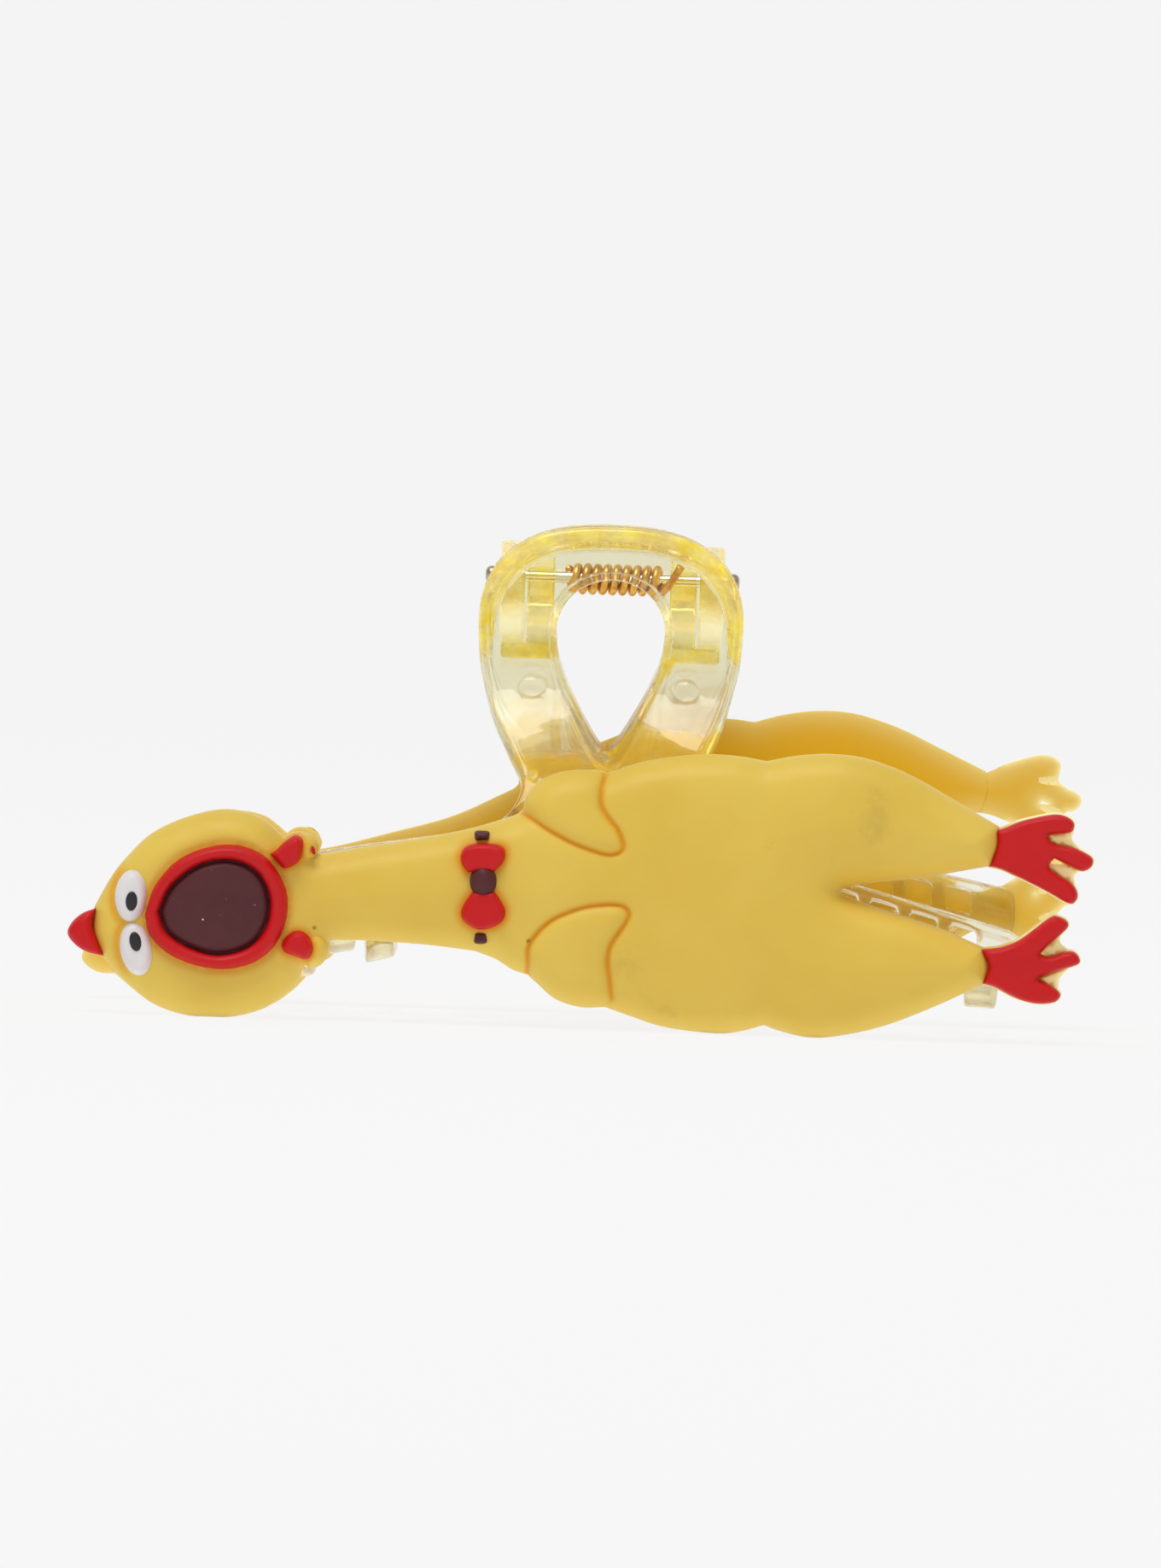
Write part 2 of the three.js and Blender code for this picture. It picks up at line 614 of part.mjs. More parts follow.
// Each chicken is bonded by eye, so it sits a few degrees off the pin's line, and the rear one a little more.
const PLACES = {
  front: { x: -2, z: -37.7, tilt: 2.2, sag: 0, outwards: -1 },
  rear: { x: -2, z: -35.5, tilt: 5.7, sag: 2.7, outwards: 1 },
};
for (const [side, { x, z, tilt, sag, outwards }] of Object.entries(PLACES)) {
  const upright = new THREE.Matrix4().makeRotationX(Math.PI / 2);
  if (outwards > 0) upright.premultiply(new THREE.Matrix4().makeScale(1, -1, 1));
  const placing = new THREE.Matrix4()
    .makeTranslation(x, outwards * PAD, z)
    .multiply(new THREE.Matrix4().makeRotationY(-THREE.MathUtils.degToRad(tilt)))
    .multiply(upright);
  const group = new THREE.Group();
  placing.decompose(group.position, group.quaternion, group.scale);
  clip.add(chicken(side, group, sag));
}

const bounds = new THREE.Box3().setFromObject(clip, true);
const middle = bounds.getCenter(new THREE.Vector3());
clip.position.set(-middle.x, -middle.y, -bounds.min.z);

export default clip;
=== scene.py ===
"""A clear claw hair clip with a soft rubber chicken on each jaw.

Shapes are built in millimetres about the hinge pin, with X along the pin, Y to the rear and Z up,
and then placed in the shared frame in metres.
"""

import json
import math

import bmesh
import bpy
import numpy as np
from mathutils import Matrix, Vector
from mathutils.geometry import delaunay_2d_cdt


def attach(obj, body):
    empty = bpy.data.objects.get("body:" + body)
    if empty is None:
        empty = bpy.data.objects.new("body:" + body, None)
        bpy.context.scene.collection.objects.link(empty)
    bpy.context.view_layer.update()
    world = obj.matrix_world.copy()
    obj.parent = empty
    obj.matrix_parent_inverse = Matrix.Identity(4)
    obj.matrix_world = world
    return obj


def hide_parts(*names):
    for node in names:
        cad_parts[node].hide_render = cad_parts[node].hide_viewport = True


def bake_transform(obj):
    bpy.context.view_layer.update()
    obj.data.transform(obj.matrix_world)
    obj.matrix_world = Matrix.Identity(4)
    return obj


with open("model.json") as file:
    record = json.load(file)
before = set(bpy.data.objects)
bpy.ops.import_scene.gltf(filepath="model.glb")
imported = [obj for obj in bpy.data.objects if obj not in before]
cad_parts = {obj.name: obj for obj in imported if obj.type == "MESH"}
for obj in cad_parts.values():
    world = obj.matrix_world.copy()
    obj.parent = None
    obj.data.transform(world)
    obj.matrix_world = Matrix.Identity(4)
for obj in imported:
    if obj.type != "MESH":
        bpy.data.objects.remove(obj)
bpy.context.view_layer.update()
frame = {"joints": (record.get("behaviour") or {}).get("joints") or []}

# ---------- driving dimensions, in millimetres about the pin ----------

MM = 0.001
PIN_AT = Vector(frame["joints"][0]["pos_m"])
TO_ROW = Matrix.Translation(PIN_AT) @ Matrix.Scale(MM, 4)

# the jaws: the wall, the loop handle and the hole in it
WALL = 2.0
HANDLE_INNER = 4.5
RING_HALF, RING_WAIST, RING_TOP, RING_POWER = 14.9, -5.5, 6.0, 2.5
HOLE_HALF, HOLE_WAIST, HOLE_TOP, HOLE_FOOT = 6.1, -5.9, -0.1, -20.0
LIP_REACH, LIP_FOOT, LIP_HEIGHT = 6.5, -9.5, 11
KNUCKLE_FOOT = -8.8
MARK_AT, MARK_RADIUS = (8.65, -12.5), 1.43

# the comb: two rails with slots between them, and the teeth
RAIL_TOP, SLOT_TOP, SLOT_BOTTOM, RAIL_BOTTOM = -27.4, -28.6, -31.2, -32.6
RAIL_START, COMB_HALF = 13, 47.0
SLOT_HALF, SLOT_CORNER = 1.55, 0.35
TOOTH_PITCH, TOOTH_COUNT, TOOTH_ROOT, TOOTH_TIP = 9.0, 10, 2.0, 1.5

# the pin and the spring
PIN_HEAD, PIN_RADIUS, SHAFT_HALF = 1.0, 0.65, 13.0
WIRE, COIL_RADIUS, COIL_TURNS, COIL_PITCH = 0.46, 1.33, 9.5, 1.12

# the chickens: their flat backs lie this far from the pin, and their feet have a base this thick
PAD = 19.2
BASE = 2.4
NECK_FOOT, HEAD_LENGTH = -12, 43
PLACES = {
    "front": {"x": -2.0, "z": -37.7, "tilt": 2.2, "sag": 0.0, "outwards": -1},
    "rear": {"x": -2.0, "z": -35.5, "tilt": 5.7, "sag": 2.7, "outwards": 1},
}

# how finely curves are sampled, and how many points are measured at a time
CURVE_SAMPLES = 24
BATCH = 2000


# ---------- curves ----------


def smooth_run(points, step):
    """A Catmull-Rom curve through the points, sampled about every step, without its last point."""
    p = np.array(points, float)
    p = np.vstack([2 * p[0] - p[1], p, 2 * p[-1] - p[-2]])
    t = np.linspace(0, 1, CURVE_SAMPLES, endpoint=False)[:, None]
    dense = []
    for a, b, c, d in zip(p[:-3], p[1:-2], p[2:-1], p[3:]):
        square = (2 * a - 5 * b + 4 * c - d) * t**2
        cube = (3 * b - a - 3 * c + d) * t**3
        dense.append(0.5 * (2 * b + (c - a) * t + square + cube))
    dense = np.vstack(dense + [p[-2][None]])
    along = length_along(dense)
    count = max(2, round(along[-1] / step))
    at = np.linspace(0, along[-1], count, endpoint=False)
    return np.stack([np.interp(at, along, dense[:, k]) for k in range(dense.shape[1])], 1)


def length_along(line):
    """How far along the line each of its points lies."""
    return np.concatenate([[0], np.cumsum(np.linalg.norm(np.diff(line, axis=0), axis=1))])


def even(points, step):
    """Straight pieces through the points, sampled about every step, without the last point."""
    p = np.array(points, float)
    along = length_along(p)
    at = np.linspace(0, along[-1], max(2, round(along[-1] / step)), endpoint=False)
    return np.column_stack([np.interp(at, along, p[:, 0]), np.interp(at, along, p[:, 1])])


def outline(stretches, step=0.35):
    """One closed outline from smooth stretches that meet in corners, anticlockwise."""
    return anticlockwise(np.vstack([smooth_run(s, step) for s in stretches]))


def anticlockwise(loop):
    return loop if signed_area(loop) > 0 else loop[::-1]


def signed_area(loop):
    """The area inside a loop, negative if it runs clockwise."""
    x, y = loop[:, 0], loop[:, 1]
    return 0.5 * np.sum(x * np.roll(y, -1) - np.roll(x, -1) * y)


def ellipse(centre, a, b, tilt=0.0, step=0.3):
    """An ellipse with half axes a and b, turned by tilt degrees."""
    count = max(12, int(2 * math.pi * max(a, b) / step))
    t = np.linspace(0, 2 * math.pi, count, endpoint=False)
    x, y = a * np.cos(t), b * np.sin(t)
    c, s = math.cos(math.radians(tilt)), math.sin(math.radians(tilt))
    return np.stack([centre[0] + c * x - s * y, centre[1] + s * x + c * y], 1)


def rounded_square(centre, a, b, step=0.12):
    """Half way between an ellipse and a rectangle."""
    t = np.linspace(0, 2 * math.pi, max(12, int(8 * max(a, b) / step)), endpoint=False)
    c, s = np.cos(t), np.sin(t)
    x = centre[0] + a * np.sign(c) * np.abs(c) ** 0.5
    y = centre[1] + b * np.sign(s) * np.abs(s) ** 0.5
    return np.stack([x, y], 1)


def unit(vectors):
    return vectors / np.linalg.norm(vectors, axis=1)[:, None]


def outward(loop):
    """The direction straight out of the loop at each of its points."""
    before = loop - np.roll(loop, 1, 0)
    after = np.roll(loop, -1, 0) - loop
    t = unit(before) + unit(after)
    t /= np.linalg.norm(t, axis=1)[:, None] + 1e-12
    return np.stack([t[:, 1], -t[:, 0]], 1) * np.sign(signed_area(loop))


def grown(loop, distance):
    """The loop with each point moved outwards by the distance."""
    return loop + outward(loop) * distance


def distance_to(points, line, closed=True):
    """Distance of each point from a line of points."""
    a = line if closed else line[:-1]
    b = np.roll(line, -1, 0) if closed else line[1:]
    ab = b - a
    length = np.sum(ab**2, 1) + 1e-12
    out = np.empty(len(points))
    for i in range(0, len(points), BATCH):
        p = points[i : i + BATCH, None, :]
        t = np.clip(np.sum((p - a) * ab, 2) / length, 0, 1)
        out[i : i + BATCH] = np.sqrt(np.min(np.sum((p - a - t[..., None] * ab) ** 2, 2), 1))
    return out


def distance_to_any(points, loops):
    return np.min([distance_to(points, loop) for loop in loops], 0)


def inside(points, loop):
    """Which points are inside the loop: a ray from each crosses it an odd number of times."""
    a, b = loop, np.roll(loop, -1, 0)
    out = np.zeros(len(points), bool)
    for i in range(0, len(points), BATCH):
        x = points[i : i + BATCH, 0][:, None]
        y = points[i : i + BATCH, 1][:, None]
        spans = (a[:, 1] > y) != (b[:, 1] > y)
        cross = a[:, 0] + (y - a[:, 1]) * (b[:, 0] - a[:, 0]) / (b[:, 1] - a[:, 1] + 1e-15)
        out[i : i + BATCH] = np.sum(spans & (x < cross), 1) % 2 == 1
    return out


def within(points, outer, holes):
    """Which points are inside the outline and outside its holes."""
    keep = inside(points, outer)
    for hole in holes:
        keep &= ~inside(points, hole)
    return keep


def smoothstep(x, low, high):
    """0 below low and 1 above high, with a smooth change between them."""
    t = np.clip((x - low) / (high - low), 0, 1)
    return t * t * (3 - 2 * t)


def rounded(d, radius):
    """0 at an edge and 1 from radius inwards, along a quarter circle."""
    t = np.clip(1 - d / radius, 0, 1)
    return np.sqrt(1 - t * t)


# ---------- meshes ----------


def triangular_grid(low, high, spacing):
    """Points in staggered rows over a rectangle."""
    xs = np.arange(low[0], high[0], spacing)
    ys = np.arange(low[1], high[1], spacing * 0.866)
    gx, gy = np.meshgrid(xs, ys)
    gx = gx + (np.arange(len(ys)) % 2)[:, None] * spacing / 2
    return np.stack([gx.ravel(), gy.ravel()], 1)


def flat_mesh(loops, free):
    """The flat area inside the first loop and outside the others.

    Returns its points, its faces, and for each loop the numbers of its points."""
    edges = []
    numbers = []
    start = 0
    for loop in loops:
        count = len(loop)
        edges += [(start + i, start + (i + 1) % count) for i in range(count)]
        numbers.append(range(start, start + count))
        start += count
    points = [Vector(p) for p in np.vstack([*loops, free])]
    flat, _, faces, origin, _, _ = delaunay_2d_cdt(points, edges, [], 0, 1e-6)
    flat = np.array(flat)
    centres = np.array([flat[list(face)].mean(0) for face in faces])
    good = within(centres, loops[0], loops[1:])
    faces = [face for face, ok in zip(faces, good) if ok]
    found = {}
    for i, sources in enumerate(origin):
        for source in sources:
            found[source] = i
    return flat, faces, [[found[i] for i in own] for own in numbers]


def slab(outer, top, bottom, spacing, insets, holes=(), wall_steps=3, extra=()):
    """A closed slab with this outline and holes, as vertices and faces.

    top and bottom give its heights from the points and their distance to the edge. insets are the depths of
    the rows of points that follow the edge. extra holds more lines of points for the inside."""
    loops = [outer, *holes]
    rows = []
    for loop, sign in [(outer, -1), *[(hole, 1) for hole in holes]]:
        for depth in insets:
            row = grown(loop, sign * depth)
            rows.append(row[distance_to_any(row, loops) > depth * 0.93])
    grid = triangular_grid(outer.min(0), outer.max(0), spacing)
    last = insets[-1] if len(insets) else 0
    clear = distance_to_any(grid, loops) > last + spacing * 0.45
    free = np.vstack([*rows, grid[clear & within(grid, outer, holes)], *extra])
    free = free[within(free, outer, holes)]
    flat, faces, rims = flat_mesh(loops, free)
    near = distance_to_any(flat, loops)
    for rim in rims:
        near[rim] = 0

    # the top and the bottom, then the walls between them
    z_top, z_bottom = top(flat, near), bottom(flat, near)
    verts = [np.column_stack([flat, z_top]), np.column_stack([flat, z_bottom])]
    count = len(flat)
    skin = [tuple(face) for face in faces]
    skin += [tuple(count + i for i in reversed(face)) for face in faces]
    following = 2 * count
    for k, rim in enumerate(rims):
        levels = [[count + i for i in rim]]
        for step in range(1, wall_steps):
            z = z_bottom[rim] + (z_top[rim] - z_bottom[rim]) * (step / wall_steps)
            verts.append(np.column_stack([flat[rim], z]))
            levels.append(list(range(following, following + len(rim))))
            following += len(rim)
        levels.append(rim)
        for a, b in zip(levels[:-1], levels[1:]):
            for i in range(len(rim)):
                j = (i + 1) % len(rim)
                face = (a[i], a[j], b[j], b[i])
                skin.append(face if k == 0 else face[::-1])
    return np.vstack(verts), skin


def mesh_of(name, verts, faces):
    """A mesh with clean faces that all look outwards."""
    mesh = bpy.data.meshes.new(name)
    mesh.from_pydata([tuple(v) for v in verts], [], [tuple(f) for f in faces])
    bm = bmesh.new()
    bm.from_mesh(mesh)
    bmesh.ops.dissolve_degenerate(bm, dist=1e-5, edges=bm.edges)
    bmesh.ops.recalc_face_normals(bm, faces=bm.faces)
    bm.to_mesh(mesh)
    bm.free()
    shade_smooth(mesh)
    return mesh


def shade_smooth(mesh):
    mesh.polygons.foreach_set("use_smooth", [True] * len(mesh.polygons))


def paint(mesh, name, values):
    """Store a number for each vertex under a name that the materials read."""
    layer = mesh.attributes.new(name, "FLOAT", "POINT")
    layer.data.foreach_set("value", np.asarray(values, np.float32))


def joined(parts):
    """Several (verts, faces) as one."""
    verts, faces = [], []
    start = 0
    for v, f in parts:
        verts.append(v)
        faces += [tuple(start + i for i in face) for face in f]
        start += len(v)
    return np.vstack(verts), faces


def tube(path, radius, sides):
    """A round tube along a path of points."""
    path = np.array(path, float)
    tangent = unit(np.gradient(path, axis=0))
    askew = [0.3, 0.5, 0.81]
    normal = np.cross(tangent[0], askew)
    normal /= np.linalg.norm(normal)
    angle = np.linspace(0, 2 * math.pi, sides, endpoint=False)[:, None]
    rings = []
    for p, t in zip(path, tangent):
        normal = normal - t * np.dot(normal, t)
        normal /= np.linalg.norm(normal)
        other = np.cross(t, normal)
        rings.append(p + radius * (np.cos(angle) * normal + np.sin(angle) * other))
    return lofted(rings)


def lofted(rings):
    """A closed skin through rings of equal length."""
    n = len(rings[0])
    verts = np.vstack(rings)
    faces = []
    for k in range(len(rings) - 1):
        for i in range(n):
            j = (i + 1) % n
            faces.append((k * n + i, k * n + j, (k + 1) * n + j, (k + 1) * n + i))
    faces.append(tuple(range(n))[::-1])
    faces.append(tuple(range((len(rings) - 1) * n, len(rings) * n)))
    return verts, faces


def turned(profile, axis_from, axis, sides=32):
    """A profile of (along, radius) turned about an axis."""
    axis = np.array(axis, float) / np.linalg.norm(axis)
    askew = [0.0, 0.3, 0.95]
    u = np.cross(axis, askew)
    u /= np.linalg.norm(u)
    v = np.cross(axis, u)
    angle = np.linspace(0, 2 * math.pi, sides, endpoint=False)[:, None]
    around = np.cos(angle) * u + np.sin(angle) * v
    return lofted([np.array(axis_from) + axis * a + around * max(r, 1e-3) for a, r in profile])


# ---------- materials ----------


class Graph:
    """Short names for building a node material."""

    def __init__(self, name):
        self.material = bpy.data.materials.new(name)
        self.material.use_nodes = True
        self.tree = self.material.node_tree
        self.tree.nodes.clear()
        self.output = self.tree.nodes.new("ShaderNodeOutputMaterial")
        self.place = self.node("ShaderNodeTexCoord").outputs["Object"]

    def node(self, kind, inputs=None, **settings):
        made = self.tree.nodes.new(kind)
        for key, value in settings.items():
            setattr(made, key, value)
        for key, value in (inputs or {}).items():
            self.feed(made.inputs[key], value)
        return made

    def feed(self, socket, value):
        """Link an output to the socket, or set the socket to a number or a colour."""
        if isinstance(value, bpy.types.NodeSocket):
            self.tree.links.new(value, socket)
        elif isinstance(value, tuple) and len(value) == 3 and socket.type == "RGBA":
            socket.default_value = (*value, 1.0)
        else:
            socket.default_value = value

    def math(self, operation, a, b=0.0, clamp=False):
        return self.node("ShaderNodeMath", {0: a, 1: b}, operation=operation, use_clamp=clamp).outputs[0]

    def scaled(self, value, share):
        return self.math("MULTIPLY", value, share)

    def mix(self, share, a, b):
        made = self.node("ShaderNodeMix", data_type="RGBA")
        self.feed(made.inputs[0], share)
        self.feed(made.inputs[6], a)
        self.feed(made.inputs[7], b)
        return made.outputs[2]

    def noise(self, per_mm, detail=3.0, roughness=0.55):
        made = self.node(
            "ShaderNodeTexNoise",
            {"Vector": self.place, "Scale": per_mm / MM, "Detail": detail, "Roughness": roughness},
        )
        return made.outputs["Fac"]

    def ramp(self, value, low, high, to_low=0.0, to_high=1.0):
        made = self.node("ShaderNodeMapRange", {0: value, 1: low, 2: high, 3: to_low, 4: to_high})
        made.interpolation_type = "SMOOTHSTEP"
        return made.outputs[0]

    def specks(self, per_mm, size, share=0.5):
        """Small spots, on the given share of the cells."""
        cells = self.node("ShaderNodeTexVoronoi", {"Vector": self.place, "Scale": per_mm / MM})
        near = self.ramp(cells.outputs["Distance"], size * 0.6, size, 1.0, 0.0)
        tone = self.node("ShaderNodeSeparateColor", {0: cells.outputs["Color"]}).outputs[0]
        return self.math("MULTIPLY", near, self.math("LESS_THAN", tone, share))

    def attribute(self, name):
        return self.node("ShaderNodeAttribute", attribute_name=name).outputs["Fac"]

    def grain(self, coarse, fine):
        """The matt grain of moulded PVC, in two sizes."""
        return self.math("ADD", self.noise(coarse, 4.0), self.scaled(self.noise(fine, 2.0), 0.5))

    def bump(self, height, strength, distance_mm):
        inputs = {"Height": height, "Strength": strength, "Distance": distance_mm * MM}
        return self.node("ShaderNodeBump", inputs).outputs[0]

    def principled(self, **inputs):
        made = self.node("ShaderNodeBsdfPrincipled", {k.replace("_", " "): v for k, v in inputs.items()})
        self.tree.links.new(made.outputs[0], self.output.inputs["Surface"])
        return self.material


def linear(red, green, blue):
    """A display colour from 0 to 255 as linear light."""
    shares = [c / 255 for c in (red, green, blue)]
    return tuple(((c + 0.055) / 1.055) ** 2.4 if c > 0.04 else c / 12.92 for c in shares)


def soft_pvc(name, colour, dark, roughness, subsurface):
    """Soft moulded PVC: a little light goes in, and the surface has fine grain, smudges and dust."""
    g = Graph(name)
    tone = g.ramp(g.noise(0.09, 4.0), 0.3, 0.75)
    base = g.mix(g.scaled(tone, 0.35), colour, dark)
    dust = g.specks(0.55, 0.09, 0.1)
    base = g.mix(g.scaled(dust, 0.25), base, (0.6, 0.55, 0.5))
    return g.principled(
        Base_Color=base,
        Roughness=g.ramp(g.noise(0.6, 3.0), 0.3, 0.8, roughness - 0.06, roughness + 0.1),
        Subsurface_Weight=subsurface,
        Subsurface_Radius=(1.0, 0.5, 0.25),
        Subsurface_Scale=1.2 * MM,
        Specular_IOR_Level=0.35,
        Normal=g.bump(g.grain(2.2, 9.0), 0.25, 0.03),
    )


def yellow_pvc():
    """The chicken's yellow: a painted golden glow behind, for light coming through the PVC, painted pale
    lit-through thin rims, painted deep orange shade in folds, with smudges and a few dark specks."""
    g = Graph("yellow_pvc")
    light, deep = linear(239, 206, 90), linear(222, 181, 57)
    backlit, glow_gold = linear(234, 180, 0), linear(236, 182, 0)
    shade_orange, lit_cream = linear(232, 158, 0), linear(240, 228, 168)
    tone = g.ramp(g.noise(0.05, 3.0), 0.3, 0.75)
    base = g.mix(g.scaled(tone, 0.45), light, deep)
    # painted golden glow on the flat back, for light coming through the PVC
    base = g.mix(g.attribute("back"), base, backlit)
    # painted pale cream on thin rims and webs, for light coming through the PVC
    base = g.mix(g.attribute("lit_through"), base, lit_cream)
    # painted deeper orange shade in the grooves, round the raised pours and beside the eyes
    base = g.mix(g.attribute("crease_shade"), base, shade_orange)
    smudge = g.ramp(g.noise(0.11, 5.0, 0.65), 0.62, 0.8)
    base = g.mix(g.scaled(smudge, 0.16), base, linear(120, 100, 70))
    base = g.mix(g.scaled(g.specks(0.16, 0.055, 0.35), 0.55), base, linear(90, 70, 30))
    # painted glow: the thin rims and the back give off a little light, though they are no lamp
    lit = g.math("ADD", g.scaled(g.attribute("lit_through"), 0.28), g.scaled(g.attribute("back"), 0.07))
    return g.principled(
        Base_Color=base,
        Roughness=g.ramp(g.noise(0.5, 3.0), 0.3, 0.8, 0.46, 0.6),
        Subsurface_Weight=0.25,
        Subsurface_Radius=(1.0, 0.62, 0.18),
        Subsurface_Scale=1.5 * MM,
        Emission_Color=g.mix(g.attribute("lit_through"), glow_gold, lit_cream),
        Emission_Strength=lit,
        Specular_IOR_Level=0.35,
        Normal=g.bump(g.grain(1.6, 7.0), 0.25, 0.03),
    )


def clear_plastic():
    """Pale yellow clear plastic: its colour builds up with the distance that light goes through it.

    The lip and the knuckles have a painted yellow glow, for the light that is led along inside them, and the
    knuckles a painted white glow as well. The foot of the handle has painted warm patches, for the chicken
    seen through it."""
    g = Graph("clear_plastic")
    ripple = g.math("ADD", g.noise(0.22, 2.0), g.scaled(g.noise(1.4, 2.0), 0.25))
    wear = g.ramp(g.noise(0.35, 5.0, 0.7), 0.62, 0.78, 0.015, 0.12)
    # painted yellow glow on the lip and knuckles, for light led along inside them
    glow = g.scaled(g.attribute("glow"), g.ramp(g.noise(0.28, 4.0, 0.6), 0.3, 0.7, 0.6, 1.0))
    # painted white glow on the knuckles
    white_glow = g.attribute("white_glow")
    patches = g.ramp(g.noise(0.4, 4.0, 0.65), 0.35, 0.65)
    mottled = g.mix(patches, linear(248, 234, 92), linear(230, 202, 40))
    # painted warm patches, with a little glow, for the chicken seen through the foot of the handle
    seen_through = g.ramp(g.math("ADD", g.attribute("chicken_seen_through"), g.noise(0.3, 4.0, 0.6)), 0.78, 0.9)
    seen_through = g.scaled(seen_through, g.math("GREATER_THAN", g.attribute("chicken_seen_through"), 0.02))
    clear = g.mix(seen_through, (0.88, 0.875, 0.83), linear(240, 208, 60))
    tint = g.mix(white_glow, g.mix(glow, clear, mottled), linear(250, 246, 226))
    # how far the painted light covers the clear plastic
    painted_light_share = g.math("MAXIMUM", glow, white_glow)
    painted_light_share = g.math("MAXIMUM", painted_light_share, g.scaled(seen_through, 0.42))
    # the painted glows give off a little light, though the plastic is no lamp
    lit = g.math("ADD", g.scaled(glow, 0.18), g.scaled(white_glow, 0.5))
    lit = g.math("ADD", lit, g.scaled(seen_through, 0.06))
    surface = g.node(
        "ShaderNodeBsdfPrincipled",
        {
            "Base Color": tint,
            "Roughness": wear,
            "IOR": 1.49,
            "Transmission Weight": g.math("SUBTRACT", 1.0, g.scaled(painted_light_share, 0.6)),
            "Alpha": g.math("ADD", 0.66, g.scaled(painted_light_share, 0.28)),
            "Normal": g.bump(ripple, 0.12, 0.12),
            "Emission Color": tint,
            "Emission Strength": lit,
        },
    )
    depth = g.node("ShaderNodeVolumeAbsorption", {"Color": (0.985, 0.89, 0.2), "Density": 105.0})
    g.tree.links.new(surface.outputs[0], g.output.inputs["Surface"])
    g.tree.links.new(depth.outputs[0], g.output.inputs["Volume"])
    return g.material


def metal(name, colour, dark, roughness):
    """Plated wire with darker tarnish and fine scratches."""
    g = Graph(name)
    tarnish = g.ramp(g.noise(0.7, 5.0, 0.65), 0.4, 0.72)
    return g.principled(
        Base_Color=g.mix(tarnish, colour, dark),
        Metallic=1.0,
        Roughness=g.ramp(g.noise(1.5, 3.0), 0.3, 0.7, roughness - 0.08, roughness + 0.12),
        Normal=g.bump(g.noise(6.0, 2.0), 0.3, 0.02),
    )


def pin_steel():
    """The pin's polished shaft and its duller, browner heads."""
    g = Graph("steel")
    along = g.node("ShaderNodeSeparateXYZ", {0: g.place}).outputs[0]
    off = g.math("ABSOLUTE", g.math("SUBTRACT", along, PIN_AT.x))
    head = g.ramp(off, (SHAFT_HALF - 0.1) * MM, (SHAFT_HALF + 0.1) * MM)
    tarnish = g.ramp(g.noise(0.7, 5.0, 0.65), 0.4, 0.72)
    dull = g.mix(tarnish, linear(214, 196, 178), linear(150, 128, 112))
    return g.principled(
        Base_Color=g.mix(head, linear(250, 244, 226), dull),
        Metallic=1.0,
        Roughness=g.ramp(head, 0.0, 1.0, 0.16, 0.36),
        Normal=g.bump(g.noise(6.0, 2.0), 0.3, 0.02),
    )


def mouth_pvc():
    """Dull maroon with dust and lint."""
    g = Graph("maroon_pvc")
    tone = g.ramp(g.noise(0.12, 4.0), 0.3, 0.75)
    base = g.mix(g.scaled(tone, 0.5), linear(90, 38, 42), linear(72, 28, 32))
    lint = g.math("ADD", g.specks(0.8, 0.1, 0.16), g.specks(1.7, 0.12, 0.1), clamp=True)
    base = g.mix(g.scaled(lint, 0.3), base, linear(190, 170, 165))
    return g.principled(
        Base_Color=base,
        Roughness=g.ramp(g.noise(0.6, 3.0), 0.3, 0.8, 0.5, 0.64),
        Subsurface_Weight=0.05,
        Subsurface_Radius=(1.0, 0.4, 0.4),
        Subsurface_Scale=0.8 * MM,
        Specular_IOR_Level=0.35,
        Normal=g.bump(g.grain(2.2, 9.0), 0.3, 0.03),
    )


MATERIALS = {
    "yellow_pvc": yellow_pvc(),
    "red_pvc": soft_pvc("red_pvc", linear(212, 8, 16), linear(188, 4, 12), 0.5, 0.12),
    "maroon_pvc": mouth_pvc(),
    "white_pvc": soft_pvc("white_pvc", linear(238, 234, 234), linear(222, 217, 219), 0.42, 0.2),
    "black_pvc": soft_pvc("black_pvc", linear(46, 43, 45), linear(32, 30, 33), 0.4, 0.0),
    "clear_plastic": clear_plastic(),
    "spring_metal": metal("spring_metal", linear(250, 206, 112), linear(222, 166, 80), 0.36),
    "steel": pin_steel(),
}


def show(name, mesh, slot, body, *nodes, matrix=TO_ROW):
    """Place a finished mesh in the frame, in its material, instead of the nodes, riding the body."""
    mesh.transform(matrix)
    # nothing dips into the table
    for vertex in mesh.vertices:
        vertex.co.z = max(vertex.co.z, 0.0)
    if matrix.determinant() < 0:
        mesh.flip_normals()
    mesh.materials.clear()
    mesh.materials.append(MATERIALS[slot])
    obj = bpy.data.objects.new(name, mesh)
    bpy.context.scene.collection.objects.link(obj)
    if nodes:
        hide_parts(*nodes)
    if body:
        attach(obj, body)
    return obj


# ---------- the chickens ----------

# the yellow body's edge, as smooth stretches from one notch or corner to the next
crown = [
    [-54.5, 1.6], [-52.7, 4.8], [-50.9, 7.1], [-48, 9.8],
    [-44, 11.6], [-39.7, 12.4], [-35.9, 11.4], [-33.3, 9.2],
]
upper_cheek = [[-33.3, 9.2], [-32.2, 9.8], [-30.9, 9.7], [-29.8, 9], [-29.4, 8.1], [-29.7, 7.3]]
neck_top = [[-29.7, 7.3], [-22.1, 8.5], [-13.6, 9.9], [-7.9, 11.5], [-6.7, 12.2]]
upper_wing = [[-6.7, 12.2], [-6.2, 13.9], [-4.6, 15.5], [-1.7, 16.5], [1.6, 16.6], [2.8, 16.3]]
flank_top = [[2.8, 16.3], [7.3, 17.6], [13, 18.3], [17.3, 18.1], [20.6, 17.5]]
